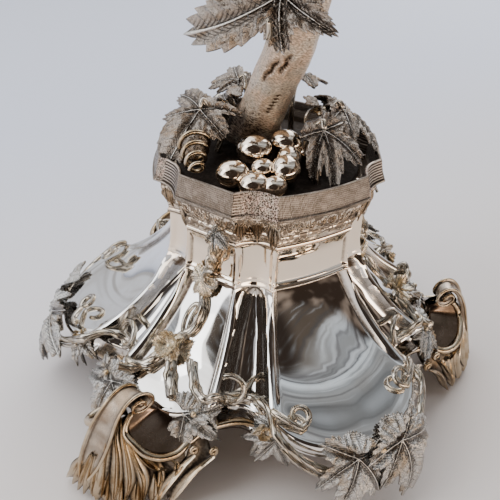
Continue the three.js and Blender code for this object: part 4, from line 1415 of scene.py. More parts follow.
class Spray:
    """The three casts of one vine: stems, leaves and gilt buds."""

    def __init__(self) -> None:
        """Starts empty casts."""
        self.stems = Cast()
        self.leaves = Cast()
        self.buds = Cast()
        self.has_buds = False

    def berry(self, spot: Vector, radius: float) -> None:
        """Adds one small berry."""
        self.buds.ball(spot, (radius, radius, radius), detail=2, shade=0.6)
        self.has_buds = True

    def rosette(self, spot: Vector, face: Vector, tip: Vector, size: float, seed: float) -> None:
        """Adds a bud with four pointed petals over a crumpled ring and a knob.

        Args:
            spot: Its middle.
            face: Where it faces.
            tip: Where one petal points.
            size: Length of a petal.
            seed: Varies its waves.
        """
        flower = VineLeaf(size, 1, -0.3, 0.14, seed, ROSETTE_LOBES, 15, 1.2, 96, 8, 1)
        flower.add(self.buds, stand(spot, tip, face))
        under = VineLeaf(size * 0.7, 1, -1, 0.2, seed + 2, ROSETTE_LOBES, 15, 1.2, 96, 7)
        under.add(self.buds, stand(spot + face.normalized() * 1.4, tip + face.cross(tip), face))
        self.berry(spot + face.normalized() * 1.6, size * 0.17)

    def finish(self, name: str, bronze: bool = False) -> None:
        """Hands the three casts over as pieces that stand for a CAD node.

        Args:
            name: CAD node.
            bronze: Whether the leaves are brown.
        """
        self.stems.finish(f"{name}_stem", Look.STEM, name, 60)
        look = Look.BRONZE_LEAF if bronze else Look.LEAF
        self.leaves.finish(f"{name}_leaves", look, name, 70)
        if self.has_buds:
            self.buds.finish(f"{name}_buds", Look.BUD, name, 60)
        else:
            self.buds.bm.free()


@dataclass
class Garland:
    """One side of a foot's garland: along the apron, past the lobe's corner and along its rim."""

    plan: BasePlan
    foot: float
    side: int
    name: str
    slip: float = 0.0
    lift: float = 3.4

    def apron(self, turn: float, inset: float, extra: float = 0) -> Vector:
        """Point over the skirt near its edge, turned from the foot's line."""
        angle = self.line(turn)
        return self.plan.on_skirt(angle, self.plan.edge(angle) - inset, self.lift + extra)

    def rim(self, a: float, drop: float, extra: float = 0) -> Vector:
        """Point beside the lobe's rim, a degrees from the lobe's middle."""
        return self.plan.beside_rim(self.foot + self.side * (self.plan.sector - a), drop, 5.4 + extra)

    def line(self, turn: float) -> float:
        """Plan angle at a turn from the foot's line."""
        return self.foot + self.side * turn

    def spot(self, turn: float, r: float, z: float) -> Vector:
        """Point at a turn from the foot's line, with this garland's slip."""
        return polar(self.line(turn + self.slip), r + 0.8 * self.slip, z)

    def leaf(self, spray: Spray, turn: float, r: float, z: float, lean: float, heading: float, length: float,
            **shape: float) -> None:
        """Adds a leaf that faces outward at a turn from the foot's line.

        Args:
            spray: What takes it.
            turn: Degrees from the foot's line.
            r: Distance from the axis.
            z: Height.
            lean: Turns its face upward.
            heading: Turns its tip.
            length: Its length.
            shape: Other sizes of the leaf.
        """
        VineLeaf(length, seed=turn * 0.37 + self.foot, lobes=GARLAND_LOBES, point=1.2, web=0.52, bend=8, **shape).add(
            spray.leaves, lean_at(self.line(turn + self.slip), self.spot(turn, r, z), lean, self.side * heading))

    def build(self) -> None:
        """Builds the garland."""
        spray = Spray()
        Stem(2.4, 2, knots=(0.12, 0.3, 0.46, 0.62)).add(spray.stems, [self.apron(4, 26, 0.5), self.apron(7, 18),
            self.apron(10, 10, 0.5), self.apron(15, 2, 0.3), self.apron(21, 0.8, 0), self.apron(28, 2.5, 0),
            self.apron(33.5, 2.5, 0.4), self.rim(22.5, 1, 0.6), self.rim(18, 6, 1.5), self.rim(14, 10, 2.5),
            self.rim(9, 13, 3), self.rim(4.5, 12, 1)])
        Stem(1.3, 1.1, 8, 0).add(spray.stems, [self.rim(21.5, 6, 1.5), self.rim(18, 10, 3), self.rim(13, 14.5, 4.4),
            self.rim(8, 16, 3.6), self.rim(4, 13, 1)])
        centre = polar(self.line(20.6 + self.slip), 93.5, 62)
        ring = curl(centre, -UP, polar(self.line(22 + self.slip), 1, 0.45), 8.4, 7.6, self.side * 0.97, 3.4)
        Stem(2.1, 1.7, rib=0).add(spray.stems, [self.apron(14 + self.slip, 2, 0.5),
            self.apron(17.5 + self.slip, 1.5, 0.3), *ring])
        middle = self.line(42 + self.slip)
        on_panel = curl(self.plan.on_skirt(middle, 112, 4.6), polar(middle, 0.8, -0.6), polar(middle, 0.7, 1), 6.2,
            3.4, self.side * 0.92, 1.4)
        Stem(2.1, 1.5, rib=0.05).add(spray.stems, [self.apron(34 + self.slip, 2, 1),
            self.apron(37 + self.slip, 3, 1.4), *on_panel])
        self.leaf(spray, 9.2, 112.5, 53, 44, 4, 25, curl=0.3)
        self.leaf(spray, 13.8, 110.5, 54.5, 40, 58, 13.5, curl=0.3)
        self.leaf(spray, 33, 113.5, 47.5, 30, -24, 15, curl=0.55, wave=0.12)
        self.leaf(spray, 36.2, 116, 48, 32, 16, 19, curl=0.4, wave=0.1)
        self.leaf(spray, 34.6, 112, 54.5, 62, 176, 11, curl=0.4)
        bud = self.spot(32.2, 113, 51.5)
        spray.rosette(bud, polar(self.line(32 + self.slip), 0.8, 0.6), -UP, 6, self.foot)
        for turn, r, z, size in ((34.4, 114.4, 51, 2.3), (35.6, 115.5, 51.8, 2.6), (12, 112.5, 55.6, 1.8)):
            spray.berry(self.spot(turn, r, z), size)
        spray.finish(self.name)


@dataclass
class TipLeaves:
    """The pair of large leaves that hang from a lobe's tip."""

    plan: BasePlan
    angle: float
    name: str

    def build(self) -> None:
        """Builds the leaves, their knot and a few buds."""
        spray = Spray()
        knot = self.plan.beside_rim(self.angle, 7, 5)
        out = polar(self.angle, 1, 0)
        for turn, r, z, heading, size in ((-5.6, 137.5, 47, -16, 32), (6.2, 139, 48.5, 22, 35)):
            spot = polar(self.angle + turn, r, z)
            VineLeaf(size, 1.1, 0.4, 0.1, 2 + turn, rows=14, columns=224, tooth=7.5).add(spray.leaves,
                lean_at(self.angle + turn, spot, 30, heading))
            Stem(2.2, 1.8).add(spray.stems, [self.plan.beside_rim(self.angle + 1.9 * turn, 9, 6.2),
                self.plan.beside_rim(self.angle + 0.8 * turn, 7, 5.6), spot - out * 2])
        VineLeaf(11, 1.1, 0.5, 0.08, 1).add(spray.leaves, lean_at(self.angle + 1,
            knot + out * 2.4 + Vector((0, 0, 3)), 60, 160))
        for x, z, size in ((-2.4, 0, 2.4), (2.2, 0.8, 2.6), (0.2, -2.6, 2.2)):
            spray.berry(knot + out * 2.4 + polar(self.angle + 90, x, z + 2), size)
        spray.finish(self.name)


@dataclass
class FootVine:
    """The twisted vine that comes down the panel over a foot: loop, link, leaf and bud."""

    plan: BasePlan
    foot: float
    name: str

    def down(self, turn: float, r: float, lift: float = 3.2) -> Vector:
        """Point over the foot's panel."""
        return self.plan.on_skirt(self.foot + turn, r, lift)

    def on_neck(self, turn: float, z: float, lift: float = 2.6) -> Vector:
        """Point in front of the neck."""
        angle = self.foot + turn
        return polar(angle, self.plan.neck(angle, 61.6) + lift, z)

    def build(self) -> None:
        """Builds the vine."""
        spray = Spray()
        out = polar(self.foot, 1, 0)
        for phase in (0, pi):
            strand = []
            for i in range(40):
                share = i / 39
                turn = lerp(6, -2, share) + 1.5 * sin(6 * pi * share + phase)
                z = lerp(150, 106, share)
                strand.append(self.on_neck(turn, z, 2.4 + 1.2 * cos(6 * pi * share + phase)))
            Stem(1.9, 1.7, 10).add(spray.stems, [*strand, self.down(-2.6, 64.5, 2.6), self.down(-3.6, 68.5, 2.8)])
        link = self.down(-2.4, 76, 3.6)
        slope = Vector((out.x, out.y, 1)).normalized()
        fall = self.down(-2, 84) - self.down(-2, 70)
        loop = [link + fall.normalized() * (9.5 * cos(t)) + slope.cross(fall.normalized()) * (4.2 * sin(t))
                for t in (2 * pi * k / 20 for k in range(21))]
        Stem(1.5, 1.5, 10, 0.05).add(spray.stems, loop)
        Stem(1.9, 1.9, 12).add(spray.stems, [self.down(-3, 67, 3), self.down(0.5, 72, 4.5), self.down(-0.5, 79, 3),
            self.down(-4.5, 84, 3.5), self.down(-4, 89, 4)])
        tendril = curl(self.on_neck(3.5, 113, 6), UP, out, 6, 4, 0.9, 1)
        Stem(1.4, 1, 10, 0).add(spray.stems, [self.on_neck(-1, 117, 3), *tendril])
        petal = self.on_neck(-2.6, 111, 5.5)
        VineLeaf(13.5, 1, 0.5, 0.12, self.foot).add(spray.buds, lean_at(self.foot, petal, 24, -24))
        spray.has_buds = True
        VineLeaf(10, 1.1, 0.4, 0.08, 1).add(spray.leaves, lean_at(self.foot, self.on_neck(5, 146, 6.5), 55, 80))
        bud = self.down(-5, 89.5, 5.5)
        spray.rosette(bud, slope, self.down(-7, 93) - self.down(-3, 86), 10.5, self.foot)
        Stem(2.6, 3, knots=(0.5,)).add(spray.stems, [self.down(-4.4, 90, 3.2), self.down(-2.8, 96, 3),
            self.down(0.4, 103, 2.8), self.down(4.2, 110.5, 2.8)])
        Stem(2.6, 2.6, knots=(0.3, 0.7), rib=0.08).add(spray.stems, [self.down(-5.6, 90, 3.2), self.down(-9, 99, 4.2),
            self.down(-12.5, 107, 5), self.down(-15.5, 113.5, 4)])
        spray.finish(self.name)


@dataclass
class Trunk:
    """The winding vine trunk with its spread root, knots and pitted bark."""

    foot_z: float = 171.7
    top_z: float = 398.0
    radius: float = 13.3
    columns: int = 84
    course: tuple[Triple, ...] = ((-2, 14, 0), (-2, 13.5, 0.04), (-1, 9, 0.08), (1, 5, 0.13), (3, 0, 0.19),
        (6, -5, 0.25), (9, -11, 0.35), (12, -15, 0.46), (13, -16, 0.57), (10, -12, 0.7), (5, -5, 0.84), (0, 0, 0.956),
        (0, 0, 1))

    def build(self) -> None:
        """Builds the trunk."""
        cast = Cast()
        line = spline([Vector((x, y, lerp(self.foot_z, self.top_z, s))) for x, y, s in self.course], 0.8)
        triads = frames(line, Vector((0, -1, 0)))
        last = len(line) - 1
        pits = [(0.125 + 0.011 * k, 0.925 + 0.0055 * k) for k in range(6)]
        splits = ((0.795, 0.19, 0.845, 0.275), (0.88, 0.232, 0.916, 0.3))

        def relief(u: float, v: float) -> Pair:
            """Distance from the trunk's middle line, and patina."""
            turn = 2 * pi * u
            z = v * (self.top_z - self.foot_z)
            round_trip = Vector((cos(turn) * 2.2, sin(turn) * 2.2, z / 26))
            ridge = noise.noise(round_trip) * 0.9 + 0.5 * noise.noise(round_trip * 2.7)
            root = smooth(0.085 - v, 0, 0.085)
            lobes = 0.5 + 0.5 * cos(5 * turn + 3 * noise.noise(Vector((cos(turn), sin(turn), 4))))
            out = self.radius + ridge + root * (2.6 + 3.4 * lobes)
            split = 0
            for u0, v0, u1, v1 in splits:
                t = (v - v0) / (v1 - v0)
                inside = smooth(t, 0, 0.2) * (1 - smooth(t, 0.75, 1))
                off = u - lerp(u0, u1, t) - 0.006 * sin(17 * t)
                split = max(split, bump(off, 0, 0.013) * inside)
                out += 1 * bump(off, 0.03, 0.016) * inside
            out -= 2.2 * split
            pit = max(bump(v, pv, 0.0032) * bump(u, pu, 0.02) for pv, pu in pits)
            out -= 1.5 * pit
            collar = 1 - smooth(v + 0.02 * sin(3 * turn + 1) + 0.016 * ridge, 0.07, 0.115)
            dark = 0.9 * split + 1.5 * pit + 0.3 * root * (1 - lobes)
            return out, dark + 0.62 * collar * (0.7 + 0.5 * abs(ridge)) + 0.3 * bump(v, 0, 0.03)

        def place(u: float, v: float) -> Vector:
            """Point of the bark."""
            i = round(v * last)
            _, side, upright = triads[i]
            r = relief(u, v)[0] if 0 < i < last else 0
            turn = 2 * pi * u
            return line[i] + side * (r * sin(turn)) + upright * (r * cos(turn))

        cast.sheet(self.columns, last, place, lambda u, v: relief(u, v)[1],
            lambda u, v: (u, v * (self.top_z - self.foot_z) / 10))
        cast.finish("trunk_bark", Look.BARK, "trunk", 60, slot=Slot.BARK)


@dataclass
class Undergrowth:
    """What grows on the mound: grapes, corkscrew tendril, and leaves on stalks, with the big trunk leaf."""

    mound: Mound
    grapes: tuple[tuple[float, float, float, float], ...] = ((-17, -13, 9.4, 4), (4, -13, 8.9, -10),
        (-38, -27, 8.6, 8), (-32, -41, 7.8, 16), (-10, -37, 9, 78), (-20, -29, 6.6, 20), (13, -21, 4.6, 30),
        (-2, -27, 7.6, 70), (-22, -46, 6.8, 24))

    def build(self) -> None:
        """Builds every piece of the undergrowth."""
        self.bunch()
        self.corkscrew()
        for name, spot, tip, face, shape, twin in (
                ("left", (-39, 13, 196), (-30, -18, -17), (-0.35, -0.35, 0.87),
                    VineLeaf(31, 1, 0.42, 0.08, 0.4, SIDE_LOBES, rows=14), (-150, 33, 196, 26)),
                ("front", (17.7, -30.8, 191), (-5, -35, -16), (-0.35, -0.45, 0.82),
                    VineLeaf(32, 0.86, 0.34, 0.09, 2.3, FORKED_LOBES, rows=14), (70, 30, 196, 19)),
                ("right", (42, -14, 193), (22, -22, -12), (0.35, -0.2, 0.9),
                    VineLeaf(29, 1, 0.4, 0.1, 1.1), (84, 44, 193, 22)),
                ("rear_right", (36, 24, 203), (16, 10, -3), (-0.1, -0.2, 0.97),
                    VineLeaf(20, 1.1, 0.3, 0.08, 4), None),
                ("rear_left", (-2, 37, 200), (-12, 12, 1), (-0.1, -0.3, 0.95),
                    VineLeaf(19, 1.1, 0.3, 0.08, 5), (-160, 40, 190, 18))):
            self.leaf(f"mound_leaf_{name}", Vector(spot), Vector(tip), Vector(face), shape, twin)
        spray = Spray()
        junction = Vector((-15, -30, 270))
        VineLeaf(52, 0.95, 0.2, 0.05, 0.9, TRUNK_LOBES, 5.5, 1.6, 264, 20, 1.35, 22).add(spray.leaves, stand(junction,
            Vector((-46, 18, -33)), Vector((-0.5, -0.52, 0.7))))
        Stem(2.2, 2, knots=(0.2,)).add(spray.stems, [Vector((3, -22, 284)), Vector((-8, -30, 280)), junction])
        Stem(1.7, 1.4).add(spray.stems, [Vector((-27, -38, 262)), Vector((-26, -38, 256)), Vector((-25, -36, 250))])
        spray.finish("trunk_leaf", bronze=True)

    def leaf(self, name: str, spot: Vector, tip: Vector, face: Vector, shape: VineLeaf,
            twin: Sequence[float] | None) -> None:
        """Builds a leaf on a stalk that stands on the mound, with an optional smaller leaf beside it.

        Args:
            name: CAD node that it stands for.
            spot: Its vein junction.
            tip: Where its tip points.
            face: Where its face points.
            shape: Its form.
            twin: Angle, distance, height and length of the smaller leaf.
        """
        spray = Spray()
        shape.add(spray.leaves, stand(spot, tip, face))
        angle = degrees(atan2(spot.x, -spot.y))
        r = hypot(spot.x, spot.y)
        root = polar(angle, r * 0.75, self.mound.height(r * 0.75) - 1)
        Stem(1.8, 1.5).add(spray.stems, [root, polar(angle, r * 0.7, (root.z + spot.z) / 2 + 3),
            spot + Vector((0, 0, 3)) - tip.normalized() * 4, spot])
        if twin:
            turn, reach, z, size = twin
            small = polar(turn, reach, z)
            VineLeaf(size, 1.1, 0.45, 0.1, size).add(spray.leaves, lean_at(turn, small, 58, 20))
            Stem(1.5, 1.3).add(spray.stems, [polar(turn, reach - 6, self.mound.height(reach - 6) - 1),
                polar(turn, reach - 8, z - 6), small])
            for k in range(3):
                spray.berry(small + Vector((3 * cos(2.1 * k), 3 * sin(2.1 * k), -3)), 2.4)
        spray.finish(name, bronze=True)

    def bunch(self) -> None:
        """Builds the grapes in front of the trunk and their stalk."""
        cast = Cast()
        across = Vector((0.86, -0.51, 0))
        for x, y, r, tilt in self.grapes:
            spot = Vector((x, y, self.mound.height(hypot(x, y)) + r * 0.86))
            turn = Matrix.Rotation(radians(tilt), 4, "Z") @ across.to_track_quat("X", "Z").to_matrix().to_4x4()
            cast.ball(spot, (r * 1.1, r * 0.94, r * 0.92), turn, 4, 0)
        cast.finish("mound_grapes_berries", Look.POLISHED, "mound_grapes", slot=Slot.POLISHED)
        stalk = Cast()
        order = (6, 1, 7, 4, 8, 3, 2, 5, 0)
        line = [Vector((self.grapes[i][0], self.grapes[i][1], self.mound.height(30) + 4)) for i in order]
        Stem(1.8, 1.6).add(stalk, line)
        stalk.finish("mound_grapes_stalk", Look.STEM, "mound_grapes")

    def corkscrew(self) -> None:
        """Builds the tapering corkscrew tendril."""
        cast = Cast()
        start, end = Vector((-46.7, 6, 182.8)), Vector((-56.8, -20.4, 176.4))
        ahead = (end - start).normalized()
        side = ahead.cross(UP).normalized()
        other = ahead.cross(side)
        path = []
        for i in range(4 * 30 + 1):
            share = i / 120
            turn = 2 * pi * i / 30
            r = lerp(9.4, 3.6, share)
            path.append(start.lerp(end, share) + side * (r * cos(turn)) + other * (r * sin(turn)))
        cast.tube(path, lambda v: lerp(1.6, 1.1, v), 12, 0.05, 6, 0.5)
        cast.finish("corkscrew", Look.GILT, "corkscrew_tendril", slot=Slot.POLISHED)


@dataclass
class Foot:
    """A cast foot: rolled strap with a volute, acanthus blades over a dark fan, C-scrolls and cheeks."""

    plan: BasePlan
    foot: float
    name: str
    sway: float
    strap: tuple[Pair, ...] = ((151.6, 14), (149.6, 22), (146.6, 32), (143.4, 43), (140.4, 53.5), (136.8, 62),
        (132.2, 68.2), (127.2, 70.6), (122.6, 69.2), (120.4, 65), (121.8, 60.8), (125.6, 59), (129.2, 60.8),
        (129.8, 64.4), (127.6, 66.8), (125, 65.8), (124.9, 63.4), (126.6, 62.8))
    strap_half: tuple[Pair, ...] = ((0, 2.5), (0.05, 4.6), (0.12, 6.6), (0.2, 7.4), (0.28, 7.6), (0.37, 7.2),
        (0.45, 6.2), (0.55, 5.6), (1, 5.2))
    fan: tuple[tuple[float, float, float, float], ...] = ((60, 131.5, 7.5, 6), (48, 137.5, 17, 12),
        (36, 141.5, 24, 16), (24, 145, 28, 19), (12, 148, 30.5, 20), (1, 151, 31.5, 20))

    def at(self, side: float, out: float, z: float) -> Vector:
        """Point at a distance to the side of the foot's line, outward along it, and up."""
        lean = self.sway * smooth(out, 108, 142)
        return polar(self.foot, out, z) + polar(self.foot + 90, side + lean, 0)

    def on_strap(self, side: float, out: float, z: float) -> Vector:
        """Point near the strap, which leans over further than the rest of the foot."""
        return self.at(side + 1.3 * self.sway * clamp((66 - z) / 62), out, z)

    def on_fan(self, u: float, z: float, lift: float = 0) -> Vector:
        """Point over the fan at a share of its half width and a height.

        Args:
            u: Share of the half width.
            z: Height.
            lift: Height over the fan.

        Returns:
            The point.
        """
        out, half, wrap = along_rows(self.fan[::-1], z)
        lean = abs(u) ** 1.6
        return self.at(half * u + lift * 0.55 * u, out - wrap * lean + lift * (1 - 0.35 * abs(u)), z)

    def build_strap(self) -> None:
        """Builds the strap that rises from the toe and rolls up into the volute."""
        cast = Cast()
        path = spline([self.on_strap(0, r, z) for r, z in self.strap], 1.1)
        triads = frames(path, polar(self.foot, 1, 0.3))
        last = len(path) - 1
        section = ((-1, -1, 0.2), (-1.06, 0.1, 0), (-1, 1.1, 0), (-0.9, 1.25, 0), (-0.8, 0.9, 0.1),
            (-0.76, 0.35, 0.55), (-0.4, 0.2, 0.1), (0, 0.15, 0.1), (0.4, 0.2, 0.1), (0.76, 0.35, 0.55),
            (0.8, 0.9, 0.1), (0.9, 1.25, 0), (1, 1.1, 0), (1.06, 0.1, 0), (1, -1, 0.2), (0, -1, 0.5), (-1, -1, 0.2))
        side = polar(self.foot + 90, 1, 0)

        def place(u: float, v: float) -> Vector:
            """Point of the strap's section."""
            i = round(v * last)
            x, h, _ = section[round(u * 16)]
            upright = triads[i][2]
            bulge = 1.2 * smooth(v, 0.5, 1)
            ripple = 0.5 * sin(0.62 * i + 2.4 * abs(x)) * (1 - abs(x)) * (h > 0) * (v < 0.4)
            wide = x * (along_rows(self.strap_half, v)[0] + bulge)
            return path[i] + side * wide + upright * (h * lerp(1.6, 1.2, v) + ripple)

        cast.sheet(16, last, place, lambda u, v: section[round(u * 16)][2] + 0.25 * smooth(v, 0.6, 0.8))
        core = [self.at(s, 126, 64.2) for s in (-5.4, -4.6, -2, 0, 2, 4.6, 5.4)]
        cast.tube(core, lambda v: 2.5, 20, shade=0.8)
        for end in (-1, 1):
            cast.ball(self.at(5.6 * end, 126, 64.2), (1.5, 1.5, 1.5), detail=3)
        cast.finish(f"{self.name}_strap", Look.FROSTED, self.name, 50)
        beads = Cast()
        for end in (-1, 1):
            edge = []
            for i in range(0, last + 1, 2):
                half = along_rows(self.strap_half, i / last)[0] + 1.2 * smooth(i / last, 0.5, 1)
                edge.append(path[i] + side * (end * half) + triads[i][2] * 1.4)
            beads.tube(edge, lambda v: 0.95, 8, shade=0.1)
        beads.finish(f"{self.name}_beads", Look.GILT, self.name)

    def build_fan(self) -> None:
        """Builds the dark fan behind the blades and the socket that meets the base."""
        cast = Cast()

        def place(u: float, v: float) -> Vector:
            """Point of the fan's face or back."""
            x = 2 * u - 1
            back = v > 0.5
            share = 2 * min(v, 1 - v)
            low = 2 + 25 * abs(x) ** 2.2 + 1.5 * abs(sin(4.5 * pi * x))
            z = lerp(50 - 8 * abs(x), low, share)
            front = self.on_fan(x, z, 0.9 * cos(11 * pi * x) * smooth(abs(x), 0.1, 0.3) - 1)
            if not back:
                return front
            deep = lerp(5, 11, share) * smooth(min(share, 1 - share), -0.02, 0.1)
            inward = polar(self.foot, 1, 0) * deep
            return front - inward - polar(self.foot + 90, 0.35 * x * deep, 0)

        cast.sheet(60, 68, place, lambda u, v: 0.72)
        cast.finish(f"{self.name}_fan", Look.DARK_GILT, self.name, 60)

    def build_acanthus(self) -> None:
        """Builds the blades that fan out from the volute, and the leaflets at the toe."""
        cast = Cast()
        out = polar(self.foot, 1, 0)
        blades = (
            (3.4, ((0.03, 55, 0.4), (0.02, 47, 1.6), (0, 33, 2.4), (0.02, 20, 2.8), (0.04, 9, 4.2))),
            (4.4, ((0.08, 55, 0.4), (0.14, 46, 1.6), (0.24, 33, 2.4), (0.26, 18, 2.8), (0.22, 3, 2.4))),
            (3.8, ((0.16, 55, 0.4), (0.32, 47, 1.8), (0.43, 34, 2.8), (0.47, 20, 3.6), (0.42, 8, 4.4))),
            (3.8, ((0.3, 52, 0.4), (0.46, 42, 1.8), (0.57, 32, 2.6), (0.66, 20, 2.8), (0.66, 4, 2.6))),
            (2.6, ((0.42, 48, 0.6), (0.57, 39, 2.2), (0.69, 33.5, 2.8), (0.81, 29, 3.4), (0.93, 27.5, 3.8))),
            (3, ((1.3, 36, 2.6), (1.16, 31, 2.6), (1.02, 24, 2.6), (0.9, 15, 2.6), (0.82, 4, 2.4))),
            (3, ((1.5, 34, 3), (1.3, 28.5, 2.8), (1.16, 22.5, 2.6), (1.04, 13, 2.2), (0.96, 3, 2))),
            (2.6, ((0.72, 36, 1.2), (0.86, 29, 2), (0.86, 18, 2.6), (0.78, 7, 2.6))),
            (2.4, ((0.95, 36, 1.2), (1.06, 30, 2), (1, 22, 2.4))),
            *((4.6, ((u, 23, 0.6), (1.02 * u, 15, 1.5), (1.04 * u, 8, 1.8), (1.05 * u, 1.4, 1)))
                for u in (0.1, 0.33, 0.56, 0.78)))
        for side in (-1, 1):
            across = polar(self.foot + 90, side, 0)
            for width, course in blades:
                points = [self.on_fan(side * u, z, lift) for u, z, lift in course]
                cast.blade(points, out + across * (0.3 + course[2][0]), width, 3.4, 0.66)
            for k, (start, flare) in enumerate(((1.6, 0.7), (5, 2.6), (8.2, 5.4))):
                points = [self.on_strap(side * x, y, z) for x, y, z in ((start * 0.7, 147 - k, 32 - 3 * k),
                    (start, 150.4 - k, 19), (start + 0.5 * flare, 152 - k, 10), (start + flare, 153 - 1.6 * k, 2.5))]
                cast.blade(points, out + across * 0.2 * k, 4, 3, 0.55)
        cast.finish(f"{self.name}_acanthus", Look.GILT, self.name, 40)

    def build_scrolls(self) -> None:
        """Builds the C-scrolls on both sides, which run from the volute into the apron's bead."""
        cast, cheeks, webs = Cast(), Cast(), Cast()
        for side in (-1, 1):
            first = [self.at(side * x, out, z) for x, out, z in ((5.6, 130.5, 60.5), (6.2, 134.5, 55.5),
                (8, 137.5, 50), (14.1, 138, 46), (20.7, 136.6, 41), (26, 132.1, 38), (28.3, 124.8, 38),
                (26.5, 117, 40))]
            first += [polar(self.foot + side * turn, r, z) for turn, r, z in ((15, 109.5, 42), (20, 103, 43.4),
                (26, 99.8, 44), (31, 101, 43))]
            cast.tube(spline(first, 1.2), lambda v: lerp(1.6, 2.3, smooth(v, 0, 0.3)) * (1 - 0.5 * smooth(v, 0.9, 1)),
                12, shade=0.25)
            for u, z in ((1.32, 38.5), (1.52, 36.5)):
                low = curl(self.on_fan(side * u, z, 2.6), -UP, polar(self.foot + 60 * side, 1, 0), 2.6, 0.9,
                    side * 1.2, 0.8)
                cast.tube(spline(low, 1), lambda v: lerp(1.7, 0.9, v), 10, shade=0.3)
            top = [polar(self.foot + side * turn, r, z) for turn, r, z in ((1, 116.5, 54), (5, 114.5, 53.5),
                (9, 111, 53), (13, 108, 52), (17, 104.5, 51), (21, 101, 50))]
            bottom = [self.at(side * x, out, z) for x, out, z in ((5, 130.5, 60), (8, 135, 51), (13, 136, 47),
                (20, 134, 42), (26, 125, 39))]
            bottom.append(polar(self.foot + side * 18, 104.5, 43))
            self.panel(cheeks, top, bottom, 6, 0.35)
            edge = [self.on_fan(side * u, z, 1) for u, z in ((0.94, 6), (1.04, 13), (1.16, 22.5), (1.3, 28.5),
                (1.46, 33.5))]
            crest = [self.on_fan(side * 0.8, 20), self.on_fan(side * 0.86, 30), *first[5:8],
                polar(self.foot + side * 14, 110.5, 41.5)]
            self.panel(webs, crest, edge, 1.5, 0.55)
        cast.finish(f"{self.name}_scrolls", Look.GILT, self.name, 60)
        cheeks.finish(f"{self.name}_cheeks", Look.UMBER, self.name, 60, slot=Slot.POLISHED)
        webs.finish(f"{self.name}_webs", Look.SMOKED_GILT, self.name, 60)

    @staticmethod
    def panel(cast: Cast, high: Sequence[Vector], low: Sequence[Vector], hollow: float, shade: float) -> None:
        """Adds a closed hollow panel between two curves.

        Args:
            cast: Mesh that takes it.
            high: Upper curve.
            low: Lower curve.
            hollow: Its depth.
            shade: Its patina.
        """
        upper, lower = spline(high, 2.2), spline(low, 2.2)

        def place(u: float, v: float) -> Vector:
            """Point of the panel's face or back."""
            back = v > 0.5
            share = 2 * min(v, 1 - v)
            a = upper[round(u * (len(upper) - 1))]
            b = lower[round(u * (len(lower) - 1))]
            middle = a.lerp(b, share)
            inward = Vector((-middle.x, -middle.y, 0)).normalized() * (hollow * sin(pi * share) + 2.2 * back)
            return middle + inward

        cast.sheet(24, 24, place, lambda u, v: shade + 0.3 * cos(2 * pi * v) ** 2)

    def build_lug(self) -> None:
        """Builds the lug under the base that the nut holds, with its hole."""
        cast = Cast()
        hole, stud, half = 3.35, 105, 10

        def place(u: float, v: float) -> Vector:
            """Point of the lug's outline or of its hole."""
            k = round(v * 4)
            turn = 2 * pi * u
            x, y = cos(turn), sin(turn)
            reach = hole
            if k not in (1, 2):
                reach = min(half / max(abs(x), 1e-6), (32 if y > 0 else 9) / max(abs(y), 1e-6))
            return self.at(reach * x, stud + reach * y, 44 if k in (2, 3) else 37)

        cast.sheet(40, 4, place, lambda u, v: 0.8)
        cast.finish(f"{self.name}_lug", Look.GILT, self.name, 40)

    def build(self) -> None:
        """Builds the whole foot."""
        self.build_strap()
        self.build_fan()
        self.build_acanthus()
        self.build_scrolls()
        self.build_lug()


@dataclass
class Fronds:
    """Chased trims of the neck: pendant fronds over the flutes, small rosettes and the ogee's scallops."""

    plan: BasePlan

    def over_neck(self, angle: float, z: float, lift: float) -> Vector:
        """Point in front of the neck at a plan angle and a height."""
        r, _ = along_rows(Shell.neck_stops[::-1], z)
        return polar(angle, self.plan.neck(angle, r) + lift, z)

    def build(self) -> None:
        """Builds the fronds, rosettes and scallops."""
        plan = self.plan
        cast = Cast()
        middle = (plan.lobe_crest + plan.foot_crest) / 2
        for lobe in LOBES.values():
            for side in (-1, 1):
                angle = lobe + side * middle
                face = polar(angle, 1, 0)
                for clump, deep in ((-8.2, 9), (0, 13), (8.2, 18)):
                    for k in range(5):
                        turn = clump + 1.35 * (k - 2)
                        low = 151 - deep * (1 - 0.28 * abs(k - 2))
                        points = [self.over_neck(angle + lerp(clump, turn, 0.7), 153, 0.2),
                            self.over_neck(angle + turn, lerp(153, low, 0.5), 0.6 + 0.3 * (k % 2)),
                            self.over_neck(angle + lerp(turn, clump, 0.3), low, 0.3)]
                        cast.blade(points, face, 1.25, 1.2, 0.4)
                knot = self.over_neck(angle + side * 4, 146, 1.6)
                for k in range(6):
                    spoke = polar(angle + 90, 1.9 * cos(k * pi / 3), 1.9 * sin(k * pi / 3))
                    cast.ball(knot + spoke, (1.1, 1.1, 1.1), detail=2, shade=0.5)
                cast.ball(knot + face * 0.5, (1, 1, 1), detail=2, shade=0.3)
        for angle in range(0, 360, 6):
            for grow in (1, 0.5):
                arc = [pi * (j / 6) for j in range(7)]
                points = [self.over_neck(angle + 2.4 * grow * cos(t), 155.6 - 5.4 * grow * sin(t), 0.15) for t in arc]
                cast.tube(points, lambda v: 0.4, 5, shade=0.2)
        cast.finish("neck_fronds", Look.SMOKED_GILT, "base_shell", 50, slot=Slot.POLISHED)


